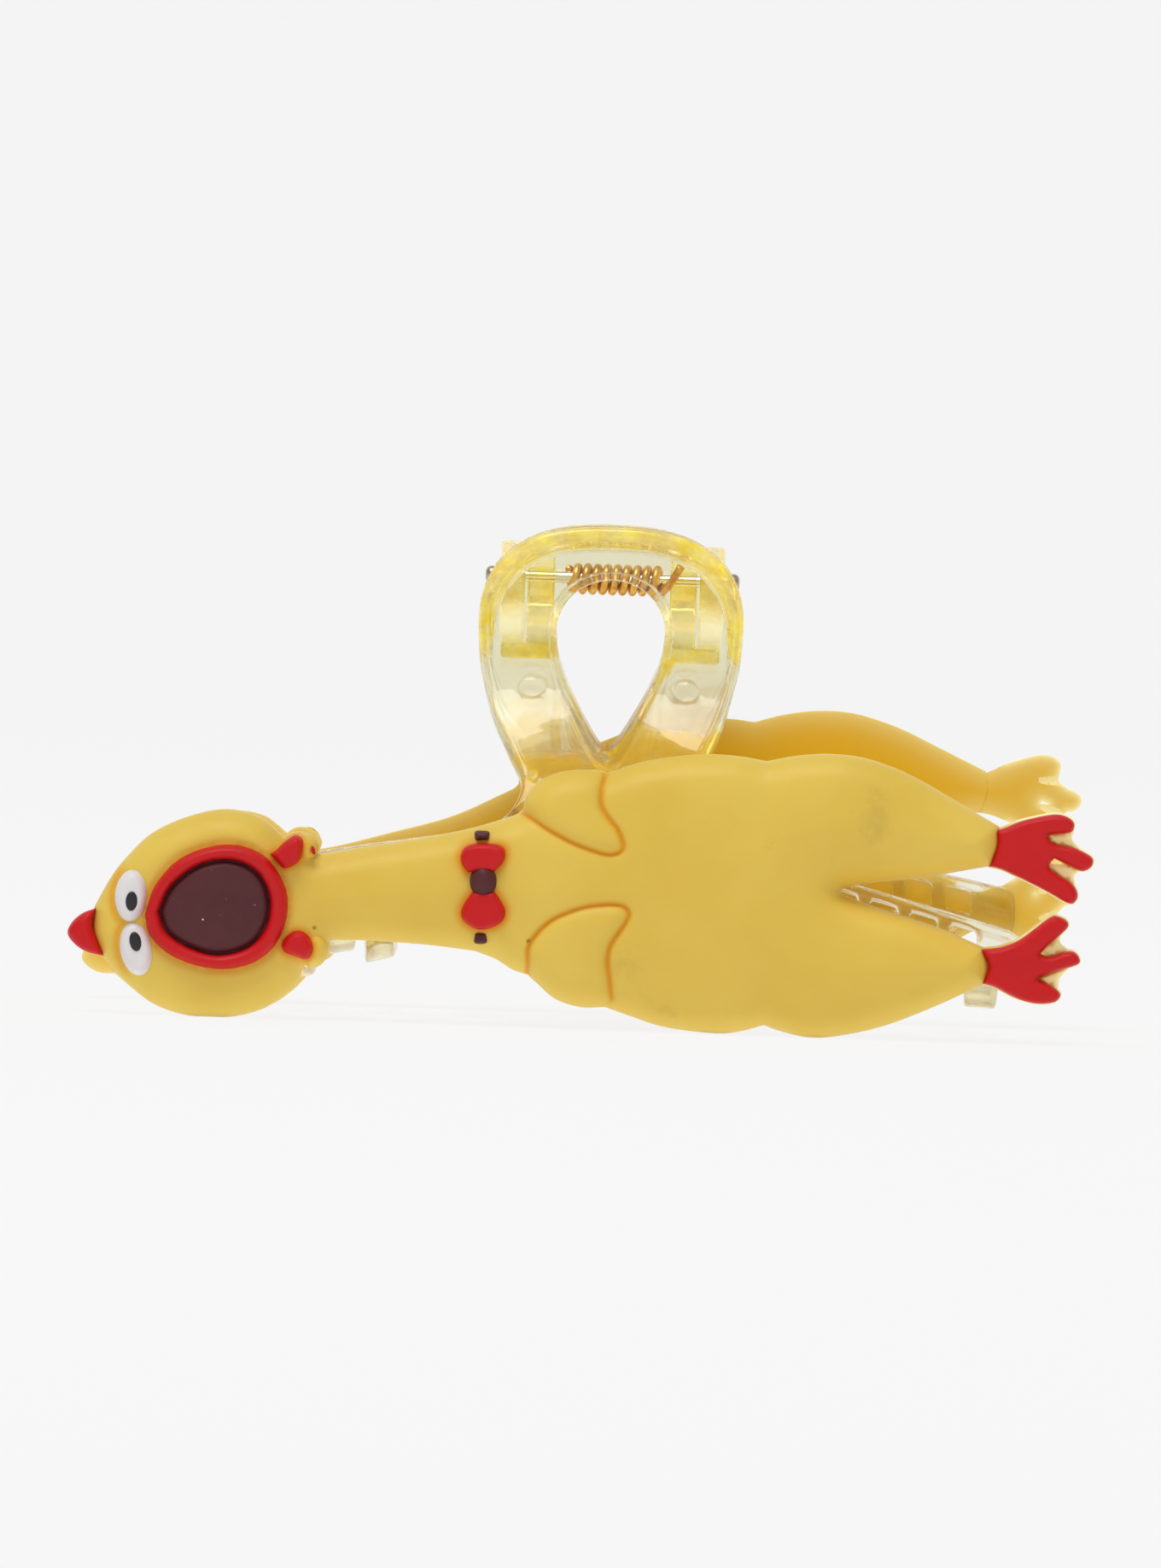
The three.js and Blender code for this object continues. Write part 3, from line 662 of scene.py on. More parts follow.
thigh_top = [
    [20.6, 17.5], [23.9, 18.1], [27.7, 18.3], [32, 17.7], [36.8, 15.8], [41.5, 13.1], [46.4, 10.2],
]
upper_ankle = [[46.4, 10.2], [46.4, 8], [45.6, 5.8]]
fork = [[45.6, 5.8], [37.7, 4.5], [31.1, 3.8], [28.8, 2.8], [33.9, 0.8], [39.6, -1.1], [44.6, -3.3]]
lower_ankle = [[44.6, -3.3], [45.2, -5.4], [44.8, -7.3]]
thigh_bottom = [
    [44.8, -7.3], [39.6, -9.7], [33.9, -11.9], [29.2, -13], [25.4, -13.3], [22, -12.6], [20.1, -11.9],
]
flank_bottom = [
    [20.1, -11.9], [17.8, -12.5], [14.9, -12.8], [9.2, -12.1], [5.4, -10.9], [2.4, -9.8],
]
lower_wing = [[2.4, -9.8], [-0.3, -9.8], [-3.1, -8.9], [-5.2, -7.1], [-6.2, -6.2]]
shoulder = [[-6.2, -6.2], [-7.9, -5.6], [-9.8, -4.4], [-12.1, -3.5]]
neck_bottom = [[-12.1, -3.5], [-17.4, -2.8], [-24, -2.3], [-28.2, -2.2]]
lower_cheek = [[-28.2, -2.2], [-28.4, -3.7], [-29.3, -5], [-30.5, -5.4], [-31, -5]]
jowl = [
    [-31, -5], [-32.3, -7.3], [-35.4, -9.7], [-39.7, -10.8],
    [-44, -10.6], [-47.9, -9.3], [-50.9, -6.9], [-53.8, -3.8],
]
brow = [[-53.8, -3.8], [-54.7, -1.2], [-54.5, 1.6]]

BODY_OUTLINE = outline([
    crown, upper_cheek, neck_top, upper_wing, flank_top, thigh_top, upper_ankle, fork, lower_ankle,
    thigh_bottom, flank_bottom, lower_wing, shoulder, neck_bottom, lower_cheek, jowl, brow,
])

CREST = outline([
    [[-54, -3.9], [-55.8, -3.2], [-57, -2.2], [-57.5, -1.2], [-57, -0.1], [-56, 0.8], [-54.8, 1.5]],
    [[-54.8, 1.5], [-55.1, 0.2], [-55, -1.2], [-54, -3.9]],
], 0.25)

UPPER_FOOT = outline([
    [
        [46.8, 9.9], [48.6, 10.8], [51.6, 11.5], [53.1, 11.6], [54.3, 11.2],
        [54.9, 10.5], [54.7, 9.6], [53.9, 9.3], [51.9, 9.2],
    ],
    [
        [51.9, 9.2], [52.6, 8.4], [54.5, 8], [55.9, 7.4], [56.9, 6.7],
        [56.9, 5.8], [56.2, 5.2], [55.2, 5.2], [52.6, 6.5],
    ],
    [
        [52.6, 6.5], [52.1, 5.8], [53, 4.9], [54.5, 4], [55.2, 2.9],
        [55.1, 1.9], [54.1, 1.5], [51.2, 3.1], [46, 5.7],
    ],
    [[46, 5.7], [46.8, 8], [46.8, 9.9]],
], 0.25)

LOWER_FOOT = outline([
    [
        [45, -3.4], [46.8, -3.1], [48.7, -2.3], [52, 0.1], [53.1, 0.2],
        [54.1, -0.4], [54, -1.3], [52.1, -3], [51.1, -4],
    ],
    [
        [51.1, -4], [52.1, -4.2], [53.6, -3.7], [54.7, -3.7],
        [55.4, -4.4], [55.2, -5.3], [52.6, -6.1], [50.8, -6.8],
    ],
    [
        [50.8, -6.8], [52.4, -7.6], [53.3, -8.5], [52.8, -9.4],
        [51.5, -9.7], [50, -9.6], [48.1, -9], [45.2, -7.4],
    ],
    [[45.2, -7.4], [45.7, -5.4], [45, -3.4]],
], 0.25)

FEET = {"upper": UPPER_FOOT, "lower": LOWER_FOOT}

LIPS = outline([
    [
        [-48.8, 0.8], [-47.6, 4.1], [-44.6, 7.2], [-39.7, 8.6], [-35.6, 7.4], [-33.2, 4], [-33, 0.4],
        [-34.6, -3], [-37.6, -4.9], [-41.5, -5.2], [-45.6, -3.9], [-48.2, -1.6], [-48.8, 0.8],
    ],
], 0.3)

MOUTH = outline([
    [
        [-47.2, 1.2], [-45.8, 4], [-42.8, 6.3], [-39.4, 6.9], [-36.5, 5.7], [-35, 3],
        [-35.2, -0.2], [-37.2, -2.7], [-40.7, -3.6], [-44, -2.7], [-46.4, -1], [-47.2, 1.2],
    ],
], 0.3)

UPPER_WATTLE = outline([
    [
        [-34.8, 7.5], [-34.1, 8], [-33.3, 8.8], [-32.6, 9.3], [-32, 9.6], [-31.4, 9.4], [-31.1, 8.7],
        [-31.2, 7.8], [-31.5, 6.8], [-32.1, 6.3], [-32.7, 6], [-33.3, 5.9], [-33.9, 6.4], [-34.8, 7.5],
    ],
], 0.2)

LOWER_WATTLE = outline([
    [
        [-33.7, -2.7], [-33.4, -2], [-32.8, -1.4], [-32, -1], [-31, -1.2], [-30.3, -2],
        [-30, -3], [-30.3, -3.8], [-30.9, -4.3], [-31.8, -4], [-33.2, -3.5], [-33.7, -2.7],
    ],
], 0.2)

UPPER_BOW = outline([
    [
        [-12.9, 5.4], [-13.5, 6.4], [-13.6, 7.3], [-13.1, 8.2], [-11.9, 8.6],
        [-10.3, 8.6], [-8.9, 8.2], [-8.6, 7.2], [-9.1, 6.2], [-9.9, 5.4],
    ],
    [[-9.9, 5.4], [-12.9, 5.4]],
], 0.2)

LOWER_BOW = outline([
    [
        [-9.9, 3.4], [-9.1, 2.2], [-8.6, 1], [-9.1, -0.2], [-10.6, -0.9],
        [-12, -0.9], [-13.3, 0], [-13.6, 1], [-13.1, 2.2], [-12.2, 3.4],
    ],
    [[-12.2, 3.4], [-9.9, 3.4]],
], 0.2)

# the bow's knot, the collar's tabs, and the yellow knobs behind the wattles with a red spot on one
KNOT = ellipse((-11.1, 4.4), 1.5, 1.85, step=0.2)
TABS = {"upper": ((-11.2, 9.4), 0.9, 0.6), "lower": ((-11.4, -1.9), 0.85, 0.8)}
KNOBS = {"upper": ((-30.9, 8.2), 1.35, 1.6), "lower": ((-29.9, -3.2), 1.45, 1.95)}
KNOB_SPOT = ellipse((-30.0, 7.9), 0.22, 0.5, 12, step=0.1)

# thin webs of the base in the gaps between the toes
WEBS = [
    outline([[[51.4, 9.3], [54.7, 10], [54.6, 8.6], [56, 7.1], [52.4, 8.2], [51.4, 9.3]]], 0.3),
    outline([[[51.8, 6.2], [55.8, 5.6], [54.8, 4.6], [54.9, 3.5], [52.7, 4.8], [51.8, 6.2]]], 0.3),
    outline([[[50.8, -3.8], [53.5, -1.2], [53.2, -2.7], [54.3, -3.9], [52.3, -4.4], [50.8, -3.8]]], 0.3),
    outline([[[50.4, -6.7], [54.3, -5.4], [53.2, -6.8], [52.9, -8.3], [52, -7.8], [50.4, -6.7]]], 0.3),
]
EYES = {
    "upper": {"centre": (-50.3, 2.86), "a": 1.82, "b": 2.93, "tilt": -4, "pupil": (-50.25, 2.35)},
    "lower": {"centre": (-49.77, -2.95), "a": 1.83, "b": 3.06, "tilt": 10, "pupil": (-49.84, -2.15)},
}

PUPIL_HALF_WIDTH, PUPIL_HALF_HEIGHT = 0.68, 1.12

# the creases round the wings, and the areas that they close off
UPPER_GROOVE = smooth_run([
    [-6.8, 12], [-4.2, 10.3], [-1.3, 8.7], [1.6, 7.6], [3, 7.3], [4.2, 7.6],
    [4.5, 8.4], [3.9, 10], [2.7, 11.6], [2.1, 12.8], [2.1, 14.3], [2.6, 16.4],
], 0.3)
LOWER_GROOVE = smooth_run([
    [-6.3, -6.6], [-6.2, -4.7], [-6.1, -3], [-5.1, -1.4], [-3.2, 0.2], [-0.4, 1.3], [2, 1.7], [3.9, 1.7],
    [4.8, 1.3], [5.1, 0.5], [4.6, -0.5], [3.6, -1.9], [2.9, -3.2], [2.7, -4.7], [2.9, -6.6], [3.2, -9.2],
], 0.3)
UPPER_WING = np.vstack([UPPER_GROOVE, [[2.6, 20], [-9, 20], [-9, 13]]])
LOWER_WING = np.vstack([LOWER_GROOVE, [[3.2, -14], [-9, -14], [-9, -7.5]]])


def dip(distance, width):
    """1 on a line or a spot, and falling away with the distance from it."""
    return np.exp(-((distance / width) ** 2))


def body_top(points, d):
    """Height of the chicken's yellow body over its flat back, d from its edge."""
    x, y = points[:, 0], points[:, 1]
    z = 1.7 + 2.9 * rounded(d, 2.9) + 1.6 * (1 - np.exp(-d / 4.5))
    for groove, wing in ((UPPER_GROOVE, UPPER_WING), (LOWER_GROOVE, LOWER_WING)):
        g = distance_to(points, groove, closed=False)
        z -= 0.4 * dip(g, 0.32) + 0.15 * dip(g, 1.5)
        z += 0.35 * inside(points, wing) * smoothstep(g, 0.1, 1.4)
    # a waist before the thighs, a hollow where the legs part, and a trench round the lips
    z -= 0.35 * dip(x - 20.4, 2.6) * smoothstep(np.abs(y - 2.8), 4, 13)
    z -= 0.3 * np.exp(-(((x - 29) / 4.5) ** 2 + ((y - 2.5) / 4.5) ** 2))
    z -= 0.3 * dip(distance_to(points, LIPS), 0.5) * ~inside(points, LIPS)
    return z


def crease_shade_on(points):
    """How strongly the painted crease shade, a deeper orange, shows round grooves and coloured parts."""
    amount = np.zeros(len(points))
    for line in (UPPER_GROOVE, LOWER_GROOVE):
        amount = np.maximum(amount, dip(distance_to(points, line, closed=False), 0.3))
    pours = (
        (LIPS, 0.4, 0.8),
        (UPPER_WATTLE, 0.45, 0.9),
        (LOWER_WATTLE, 0.45, 0.9),
        (UPPER_BOW, 0.55, 1.0),
        (LOWER_BOW, 0.55, 1.0),
    )
    for loop, reach, strength in pours:
        amount = np.maximum(amount, strength * dip(distance_to(points, loop), reach))
    for eye in EYES.values():
        loop = ellipse(eye["centre"], eye["a"] + 0.35, eye["b"] + 0.35, eye["tilt"])
        left = smoothstep(eye["centre"][0] - points[:, 0], 0.2, 1.6)
        amount = np.maximum(amount, 0.8 * left * dip(distance_to(points, loop), 0.45))
    return amount


def flat_at(height):
    """A slab's top or bottom that is flat."""
    return lambda points, d: np.full(len(points), height)


def cushion(loop, low, high, radius, spacing=0.35, dome=0.0, insets=(0.06, 0.2, 0.42), holes=()):
    """A pour of PVC with rounded edges, from low to high."""
    edge = low + (high - low) * 0.25

    def top(points, d):
        return edge + (high - edge) * rounded(d, radius) + dome * (1 - np.exp(-d / 1.5))

    return slab(loop, top, flat_at(low), spacing, insets, holes)


def towards_body(loop, push):
    """The outline with its side next to the yellow body pushed in, so that no trench is left between."""
    near = dip(distance_to(loop, BODY_OUTLINE), 0.75)
    centre = np.array([0.0, (loop[:, 1].min() + loop[:, 1].max()) / 2])
    return loop + unit(centre - loop) * push * near[:, None]


def sagged(verts, sag):
    """The rear chicken's head hangs a little past the end of the comb, and its neck bends in the middle."""
    past = np.maximum(0, NECK_FOOT - verts[:, 0]) / HEAD_LENGTH
    bend = 0.31 * np.exp(-(((verts[:, 0] + 21.5) / 10.5) ** 4))
    return verts - np.column_stack([0 * past, sag * (past**2 + bend), 0 * past])


def beside(line, offset):
    """The line shifted sideways, a little short of its ends."""
    across = np.gradient(line, axis=0)[:, ::-1] * [1, -1]
    return (line + offset * across / np.linalg.norm(across, axis=1)[:, None])[1:-1]


def free_edge(loops):
    """The points of the loops that are inside none of the other loops."""
    kept = []
    for loop in loops:
        hidden = np.zeros(len(loop), bool)
        for other in loops:
            if other is not loop:
                hidden |= inside(loop, other)
        kept.append(loop[~hidden])
    return np.vstack(kept)


def nearest(points, targets):
    """Distance of each point from the nearest target."""
    out = np.empty(len(points))
    for i in range(0, len(points), BATCH):
        apart = points[i : i + BATCH, None, :] - targets
        out[i : i + BATCH] = np.sqrt(np.min(np.sum(apart**2, 2), 1))
    return out


def unite(name, shapes):
    """One closed mesh from overlapping (verts, faces)."""
    objects = []
    for i, (verts, faces) in enumerate(shapes):
        objects.append(bpy.data.objects.new(f"{name}_{i}", mesh_of(f"{name}_{i}", verts, faces)))
        bpy.context.scene.collection.objects.link(objects[-1])
    for other in objects[1:]:
        step = objects[0].modifiers.new("join", "BOOLEAN")
        step.operation = "UNION"
        step.solver = "MANIFOLD"
        step.object = other
    bpy.context.view_layer.update()
    whole = objects[0].evaluated_get(bpy.context.evaluated_depsgraph_get())
    made = bpy.data.meshes.new_from_object(whole)
    made.name = name
    for obj in objects:
        bpy.data.objects.remove(obj)
    return made


def chicken_matrix(place):
    """From the chicken's flat pattern to its place outside its jaw, the rear one mirrored."""
    upright = Matrix.Rotation(math.pi / 2, 4, "X")
    if place["outwards"] > 0:
        upright = Matrix.Scale(-1, 4, (0, 1, 0)) @ upright
    placing = (
        Matrix.Translation((place["x"], place["outwards"] * PAD, place["z"]))
        @ Matrix.Rotation(-math.radians(place["tilt"]), 4, "Y")
        @ upright
    )
    return TO_ROW @ placing


def chicken_yellow(side, sag):
    """The yellow: body, knobs behind the wattles, and the base under the feet and the crest."""
    creases = []
    for line in (UPPER_GROOVE, LOWER_GROOVE):
        creases += [beside(line, off) for off in (-0.4, -0.2, 0, 0.2, 0.4)]
    shapes = [slab(BODY_OUTLINE, body_top, flat_at(0), 0.42, (0.06, 0.2, 0.45, 0.8, 1.25), (), 4, creases)]
    for knob in KNOBS.values():
        shapes.append(cushion(ellipse(*knob), 1.5, 5.6, 1.2, 0.25))
    bases = [towards_body(grown(foot, 0.06), 1.5) for foot in FEET.values()]
    bases.append(towards_body(CREST, 1.1))
    for loop in bases:
        shapes.append(cushion(loop, 0.05, BASE, 0.5))
    for loop in WEBS:
        shapes.append(cushion(loop, 0.3, 2.1, 0.4))
    mesh = unite(f"{side}_yellow", shapes)

    # where painted light goes: painted orange shade round grooves and pours, a painted golden glow behind,
    # and painted pale lit-through thin rims and webs
    at = np.array([v.co for v in mesh.vertices])
    flat, height = at[:, :2], at[:, 2]
    d = nearest(flat, free_edge([BODY_OUTLINE, *bases, *WEBS]))
    # how near the flat back a point lies, where the painted golden glow goes
    backlit = 1 - smoothstep(height, 0.2, 2.2)
    on_foot = smoothstep(at[:, 0], 47, 49)
    on_web = np.zeros(len(at), bool)
    for loop in WEBS:
        on_web |= inside(flat, loop)
    for base in bases:
        on_web &= ~inside(flat, base)
    # painted lit-through rims, at the back's edges and round the feet
    edges = np.maximum(0.45 * backlit * np.exp(-d / 1.2), on_foot * np.exp(-d / 0.6))
    # painted crease shade, on the top only
    paint(mesh, "crease_shade", crease_shade_on(flat) * (height > 1.9))
    # painted golden glow on the back
    paint(mesh, "back", backlit * (1 - 0.9 * np.exp(-d / 1.4)) * (1 - 0.3 * on_foot))
    # painted pale lit-through rims and webs
    paint(mesh, "lit_through", np.maximum(edges, 0.9 * (on_web & (height > 0.2) & (height < 2.3))))
    for vertex, moved in zip(mesh.vertices, sagged(at, sag)):
        vertex.co = moved
    shade_smooth(mesh)
    return mesh


def chicken(side):
    """The yellow body and the coloured pours on it."""
    sag = PLACES[side]["sag"]
    matrix = chicken_matrix(PLACES[side])
    body = f"{side}_half"
    yellow = chicken_yellow(side, sag)
    show(f"{side}_yellow", yellow, "yellow_pvc", body, f"{side}_chicken_body", matrix=matrix)

    def part(name, made, slot, *nodes):
        mesh = mesh_of(f"{side}_{name}", sagged(made[0], sag), made[1])
        show(f"{side}_{name}", mesh, slot, body, *nodes, matrix=matrix)

    def pour(name, made, slot):
        part(name, made, slot, f"{side}_chicken_{name}")

    pour("crest", cushion(towards_body(CREST, 0.6), BASE - 0.2, 4.3, 0.9), "red_pvc")
    for where, foot in FEET.items():
        loop = towards_body(grown(foot, -0.1), 1.2)
        pour(f"foot_{where}", cushion(loop, BASE - 0.5, 3.7, 0.55), "red_pvc")
    pour("lips", cushion(LIPS, 5.0, 7.3, 0.8, 0.3, holes=(MOUTH,)), "red_pvc")
    mouth = [
        cushion(grown(MOUTH, -0.1), 5.0, 6.9, 0.7, 0.35, 0.15),
        slab(grown(MOUTH, 0.3), flat_at(6.1), flat_at(5.1), 1.0, (), wall_steps=1),
    ]
    pour("mouth", joined(mouth), "maroon_pvc")
    dot = ellipse((-42.3, 0.3), 0.15, 0.15, step=0.08)
    part("mouth_dot", cushion(dot, 6.6, 7.08, 0.08, 0.1, insets=(0.04,)), "white_pvc")
    wattle = [
        cushion(UPPER_WATTLE, 4.6, 7.0, 0.8, 0.25),
        cushion(KNOB_SPOT, 5.0, 5.8, 0.2, 0.15, insets=(0.05,)),
    ]
    pour("wattle_upper", joined(wattle), "red_pvc")
    pour("wattle_lower", cushion(LOWER_WATTLE, 4.2, 6.8, 0.8, 0.25), "red_pvc")
    pour("bow_upper", cushion(UPPER_BOW, 4.8, 6.9, 0.6, 0.25), "red_pvc")
    pour("bow_lower", cushion(LOWER_BOW, 4.8, 6.9, 0.6, 0.25), "red_pvc")
    pour("bow_knot", cushion(KNOT, 5.2, 7.3, 1.3, 0.25), "maroon_pvc")
    for where, eye in EYES.items():
        white = ellipse(eye["centre"], eye["a"], eye["b"], eye["tilt"], 0.2)
        black = ellipse(eye["pupil"], PUPIL_HALF_WIDTH, PUPIL_HALF_HEIGHT, eye["tilt"], 0.12)
        pour(f"eye_{where}", cushion(white, 4.3, 6.5, 1.1, 0.25), "white_pvc")
        pour(f"pupil_{where}", cushion(black, 6.3, 6.72, 0.4, 0.15, insets=(0.05, 0.15)), "black_pvc")
    for where, tab in TABS.items():
        pour(f"collar_{where}", cushion(rounded_square(*tab), 2.5, 5.4, 0.45, 0.25), "maroon_pvc")


# ---------- the jaws ----------

# the wall's middle as (y, z), from the top of the handle down to the tips of the teeth
WALL_LINE = smooth_run([
    [-5.5, 7], [-5.5, 2], [-5.5, -3.5], [-5.6, -8.5], [-7.3, -13.5], [-10.8, -18], [-14.4, -21.8],
    [-17, -25.2], [-17.9, -29], [-17.5, -32.6], [-15.4, -35.8], [-12, -37.8], [-8, -38.4], [-4, -38.2],
    [0, -37.4], [3.6, -36],
], 0.1)
WALL_ALONG = length_along(WALL_LINE)
WALL_SLOPE = np.gradient(WALL_LINE, WALL_ALONG, axis=0)

# the part of it above the curl of the teeth, where each height comes once
UPRIGHT = slice(0, int(np.argmin(WALL_LINE[:, 1])) - 20)


def along_at(height):
    """How far along the wall a height lies, above the teeth."""
    return np.interp(-np.asarray(height, float), -WALL_LINE[UPRIGHT, 1], WALL_ALONG[UPRIGHT])


def arch_drop(x):
    """How far the comb drops at a distance x from the middle."""
    return 0.235 * (np.hypot(x, 12) - 12) + 0.04 * x


def tooth_rise(x):
    """How much shorter the teeth are towards the comb's ends."""
    return 2.6 * smoothstep(np.abs(x), 33, 46)


def form(verts):
    """Flat pattern (x, along the wall, depth outwards) to the formed front jaw."""
    x, along, depth = verts[:, 0], verts[:, 1], verts[:, 2]
    y, z = (np.interp(along, WALL_ALONG, WALL_LINE[:, k]) for k in (0, 1))
    ty, tz = (np.interp(along, WALL_ALONG, WALL_SLOPE[:, k]) for k in (0, 1))
    y, z = y + tz * depth, z - ty * depth
    share = smoothstep(-z, 12, 22)
    below = smoothstep(-z, -RAIL_BOTTOM, 37)
    return np.column_stack([x, y, z - share * arch_drop(x) + below * tooth_rise(x)])


def pattern(points):
    """Points given as (x, z) in the flat pattern, as (x, along the wall)."""
    p = np.array(points, float)
    return np.column_stack([p[:, 0], along_at(p[:, 1])])


def ring_side(step=0.5):
    """Right half of the loop handle's outside as (x, z), from its top down to the comb."""
    turn = np.radians(np.linspace(90, 0, 60))
    share = 2 / RING_POWER
    cos, sin = np.clip(np.cos(turn), 0, 1), np.clip(np.sin(turn), 0, 1)
    arc = np.column_stack([RING_HALF * cos**share, RING_WAIST + (RING_TOP - RING_WAIST) * sin**share])
    flank = [
        [RING_HALF, RING_WAIST], [14.5, -10], [13.1, -15], [11, -19.2],
        [9.4, -22.8], [10.4, -25.6], [RAIL_START, RAIL_TOP],
    ]
    return np.vstack([arc[:-1], smooth_run(flank, step)])


def tooth_outline(root, tip):
    """One tooth in the flat pattern about its own middle, from its root along the wall to its tip."""
    reach = tip - TOOTH_TIP
    start = root + 1.6
    side = [[TOOTH_ROOT + 0.9, root], [TOOTH_ROOT + 0.2, root + 0.6], [TOOTH_ROOT, start]]
    for share in (0.3, 0.6, 1):
        side.append([TOOTH_ROOT + (TOOTH_TIP - TOOTH_ROOT) * share, start + (reach - root - 1.6) * share])
    for turn in (0.3, 0.65, 1.0, 1.3):
        side.append([TOOTH_TIP * math.cos(turn), reach + TOOTH_TIP * math.sin(turn)])
    side = np.array(side)
    return even(np.vstack([side, side[::-1] * [-1, 1]]), 0.5)


def jaw_outline():
    """The jaw's outside in the flat pattern, as (x, along), anticlockwise."""
    handle = even(pattern(ring_side()), 0.5)
    rail = pattern([
        [RAIL_START, RAIL_TOP], [COMB_HALF - 1.2, RAIL_TOP], [COMB_HALF - 0.3, RAIL_TOP - 0.4],
        [COMB_HALF, RAIL_TOP - 1.3], [COMB_HALF, RAIL_BOTTOM + 1.3], [COMB_HALF - 0.4, RAIL_BOTTOM + 0.4],
        [COMB_HALF - 1.2, RAIL_BOTTOM],
    ])
    right = np.vstack([handle, even(rail, 0.6)])
    left = right[1:] * [-1, 1]
    tooth = tooth_outline(float(along_at(RAIL_BOTTOM)), WALL_ALONG[-1] - 0.3)
    under = []
    for k in reversed(range(TOOTH_COUNT)):
        x = (k - (TOOTH_COUNT - 1) / 2) * TOOTH_PITCH + TOOTH_PITCH / 4
        under.append(tooth + [x, 0])
    return anticlockwise(np.vstack([right, *under, left[::-1]]))


def loop_hole():
    """The teardrop hole of the loop handle, in the flat pattern."""
    turn = np.linspace(math.pi / 2, 0, 40)
    arc = np.column_stack([HOLE_HALF * np.cos(turn), HOLE_WAIST + (HOLE_TOP - HOLE_WAIST) * np.sin(turn)])
    side = smooth_run([
        [HOLE_HALF, HOLE_WAIST], [5.8, -8.6], [4.7, -12], [2.9, -15.8], [0.9, -19.2], [0, HOLE_FOOT],
    ], 0.3)
    half = np.vstack([arc[:-1], side])
    whole = np.vstack([half, [[0, HOLE_FOOT]], half[1:][::-1] * [-1, 1]])
    return anticlockwise(even(pattern(np.vstack([whole, whole[:1]])), 0.4))


def slots():
    """The comb's slots between its rails, in the flat pattern, with rounded corners."""
    out = []
    pitch = TOOTH_PITCH / 2
    reach = int((COMB_HALF - 2 * SLOT_HALF) // pitch)
    low, high = float(along_at(SLOT_TOP)), float(along_at(SLOT_BOTTOM))
    for k in range(-reach, reach + 1):
        corners = []
        for cx, cy, start in ((1, 1, 0), (-1, 1, 90), (-1, -1, 180), (1, -1, 270)):
            for turn in (0, 45, 90):
                a = math.radians(start + turn)
                corners.append([
                    k * pitch + cx * (SLOT_HALF - SLOT_CORNER) + SLOT_CORNER * math.cos(a),
                    (low + high) / 2 + cy * ((high - low) / 2 - SLOT_CORNER) + SLOT_CORNER * math.sin(a),
                ])
        out.append(even(corners + corners[:1], 0.6))
    return out


def jaw_wall():
    """The whole jaw but its lip and knuckles, with a raised rim and two moulding rings on the handle."""
    outer = jaw_outline()
    hole = loop_hole()
    rim_end = float(along_at(-23.5))
    edge = 0.4
    marks = [np.array([sign * MARK_AT[0], float(along_at(MARK_AT[1]))]) for sign in (1, -1)]

    def rim(points, d):
        on_handle = 1 - smoothstep(points[:, 1], rim_end - 2, rim_end)
        raised = 0.35 * on_handle * (1 - smoothstep(d, 0.75, 1.05))
        for mark in marks:
            raised = raised - 0.14 * dip(np.linalg.norm(points - mark, axis=1) - MARK_RADIUS, 0.14)
        return raised

    def top(points, d):
        return WALL / 2 - edge + edge * rounded(d, edge) + rim(points, d)

    def bottom(points, d):
        collar = 1.5 * (1 - smoothstep(distance_to(points, hole), 0.8, 1.05))
        return -(WALL / 2 - edge + edge * rounded(d, edge) + collar)

    circles = [ellipse(mark, r, r, step=0.22) for mark in marks for r in (1.2, MARK_RADIUS, 1.66)]
    holes = (hole, *slots())
    verts, faces = slab(outer, top, bottom, 1.0, (0.12, 0.4, 0.78, 1.08), holes, 2, circles)
    return form(verts), faces


def lip():
    """The flared lip round the top of the handle, thickest at the top."""
    side = even(np.vstack([ring_side(0.4), [[RAIL_START, RAIL_TOP]]]), 0.5)
    side = side[side[:, 1] > LIP_FOOT]
    path = np.vstack([side[1:][::-1] * [-1, 1], side])
    tangent = unit(np.gradient(path, axis=0))
    inward = np.column_stack([tangent[:, 1], -tangent[:, 0]])
    back = -HANDLE_INNER - 0.4
    outside = -HANDLE_INNER - WALL
    rings = []
    for p, n in zip(path, inward):
        rise = np.clip((p[1] - LIP_FOOT) / LIP_HEIGHT, 0, 1) ** 0.8
        front = outside - LIP_REACH * rise - 0.3
        root, thick = 1.2 + 2.0 * rise, 1.3 + 0.3 * rise
        section = [[0.6, back], [0.6, outside], [0.2, front + 2.2], [0.05, front + 0.8]]
        for turn in range(0, 181, 30):
            a = math.radians(turn)
            section.append([0.05 + thick / 2 - thick / 2 * math.cos(a), front + 0.6 - 0.6 * math.sin(a)])
        section += [
            [thick + 0.15, front + 1.6], [thick * 0.6 + root * 0.45, outside - 1.6],
            [root * 0.9, outside - 0.3], [root, -HANDLE_INNER - 1.2], [root, back],
        ]
        rings.append(np.array([[p[0] + n[0] * s, y, p[1] + n[1] * s] for s, y in section]))
    return lofted(rings)


def block(section, start, end, bevel=0.25):
    """A bar along the pin with this (y, z) section and softened ends."""
    loop = anticlockwise(np.array(section, float))
    rings = []
    for x, inset in ((start, bevel), (start + bevel, 0), (end - bevel, 0), (end, bevel)):
        rings.append(np.column_stack([np.full(len(loop), x), grown(loop, -inset)]))
    return lofted(rings)


def knuckle_section(radius):
    """A knuckle round the pin as (y, z), with its foot on the handle."""
    back = -HANDLE_INNER - 0.5
    section = [[back, radius * 0.86]]
    for turn in range(120, -61, -12):
        a = math.radians(turn)
        section.append([radius * math.cos(a), radius * math.sin(a)])
    section += [[-1.5, -5.4], [back, KNUCKLE_FOOT]]
    return section


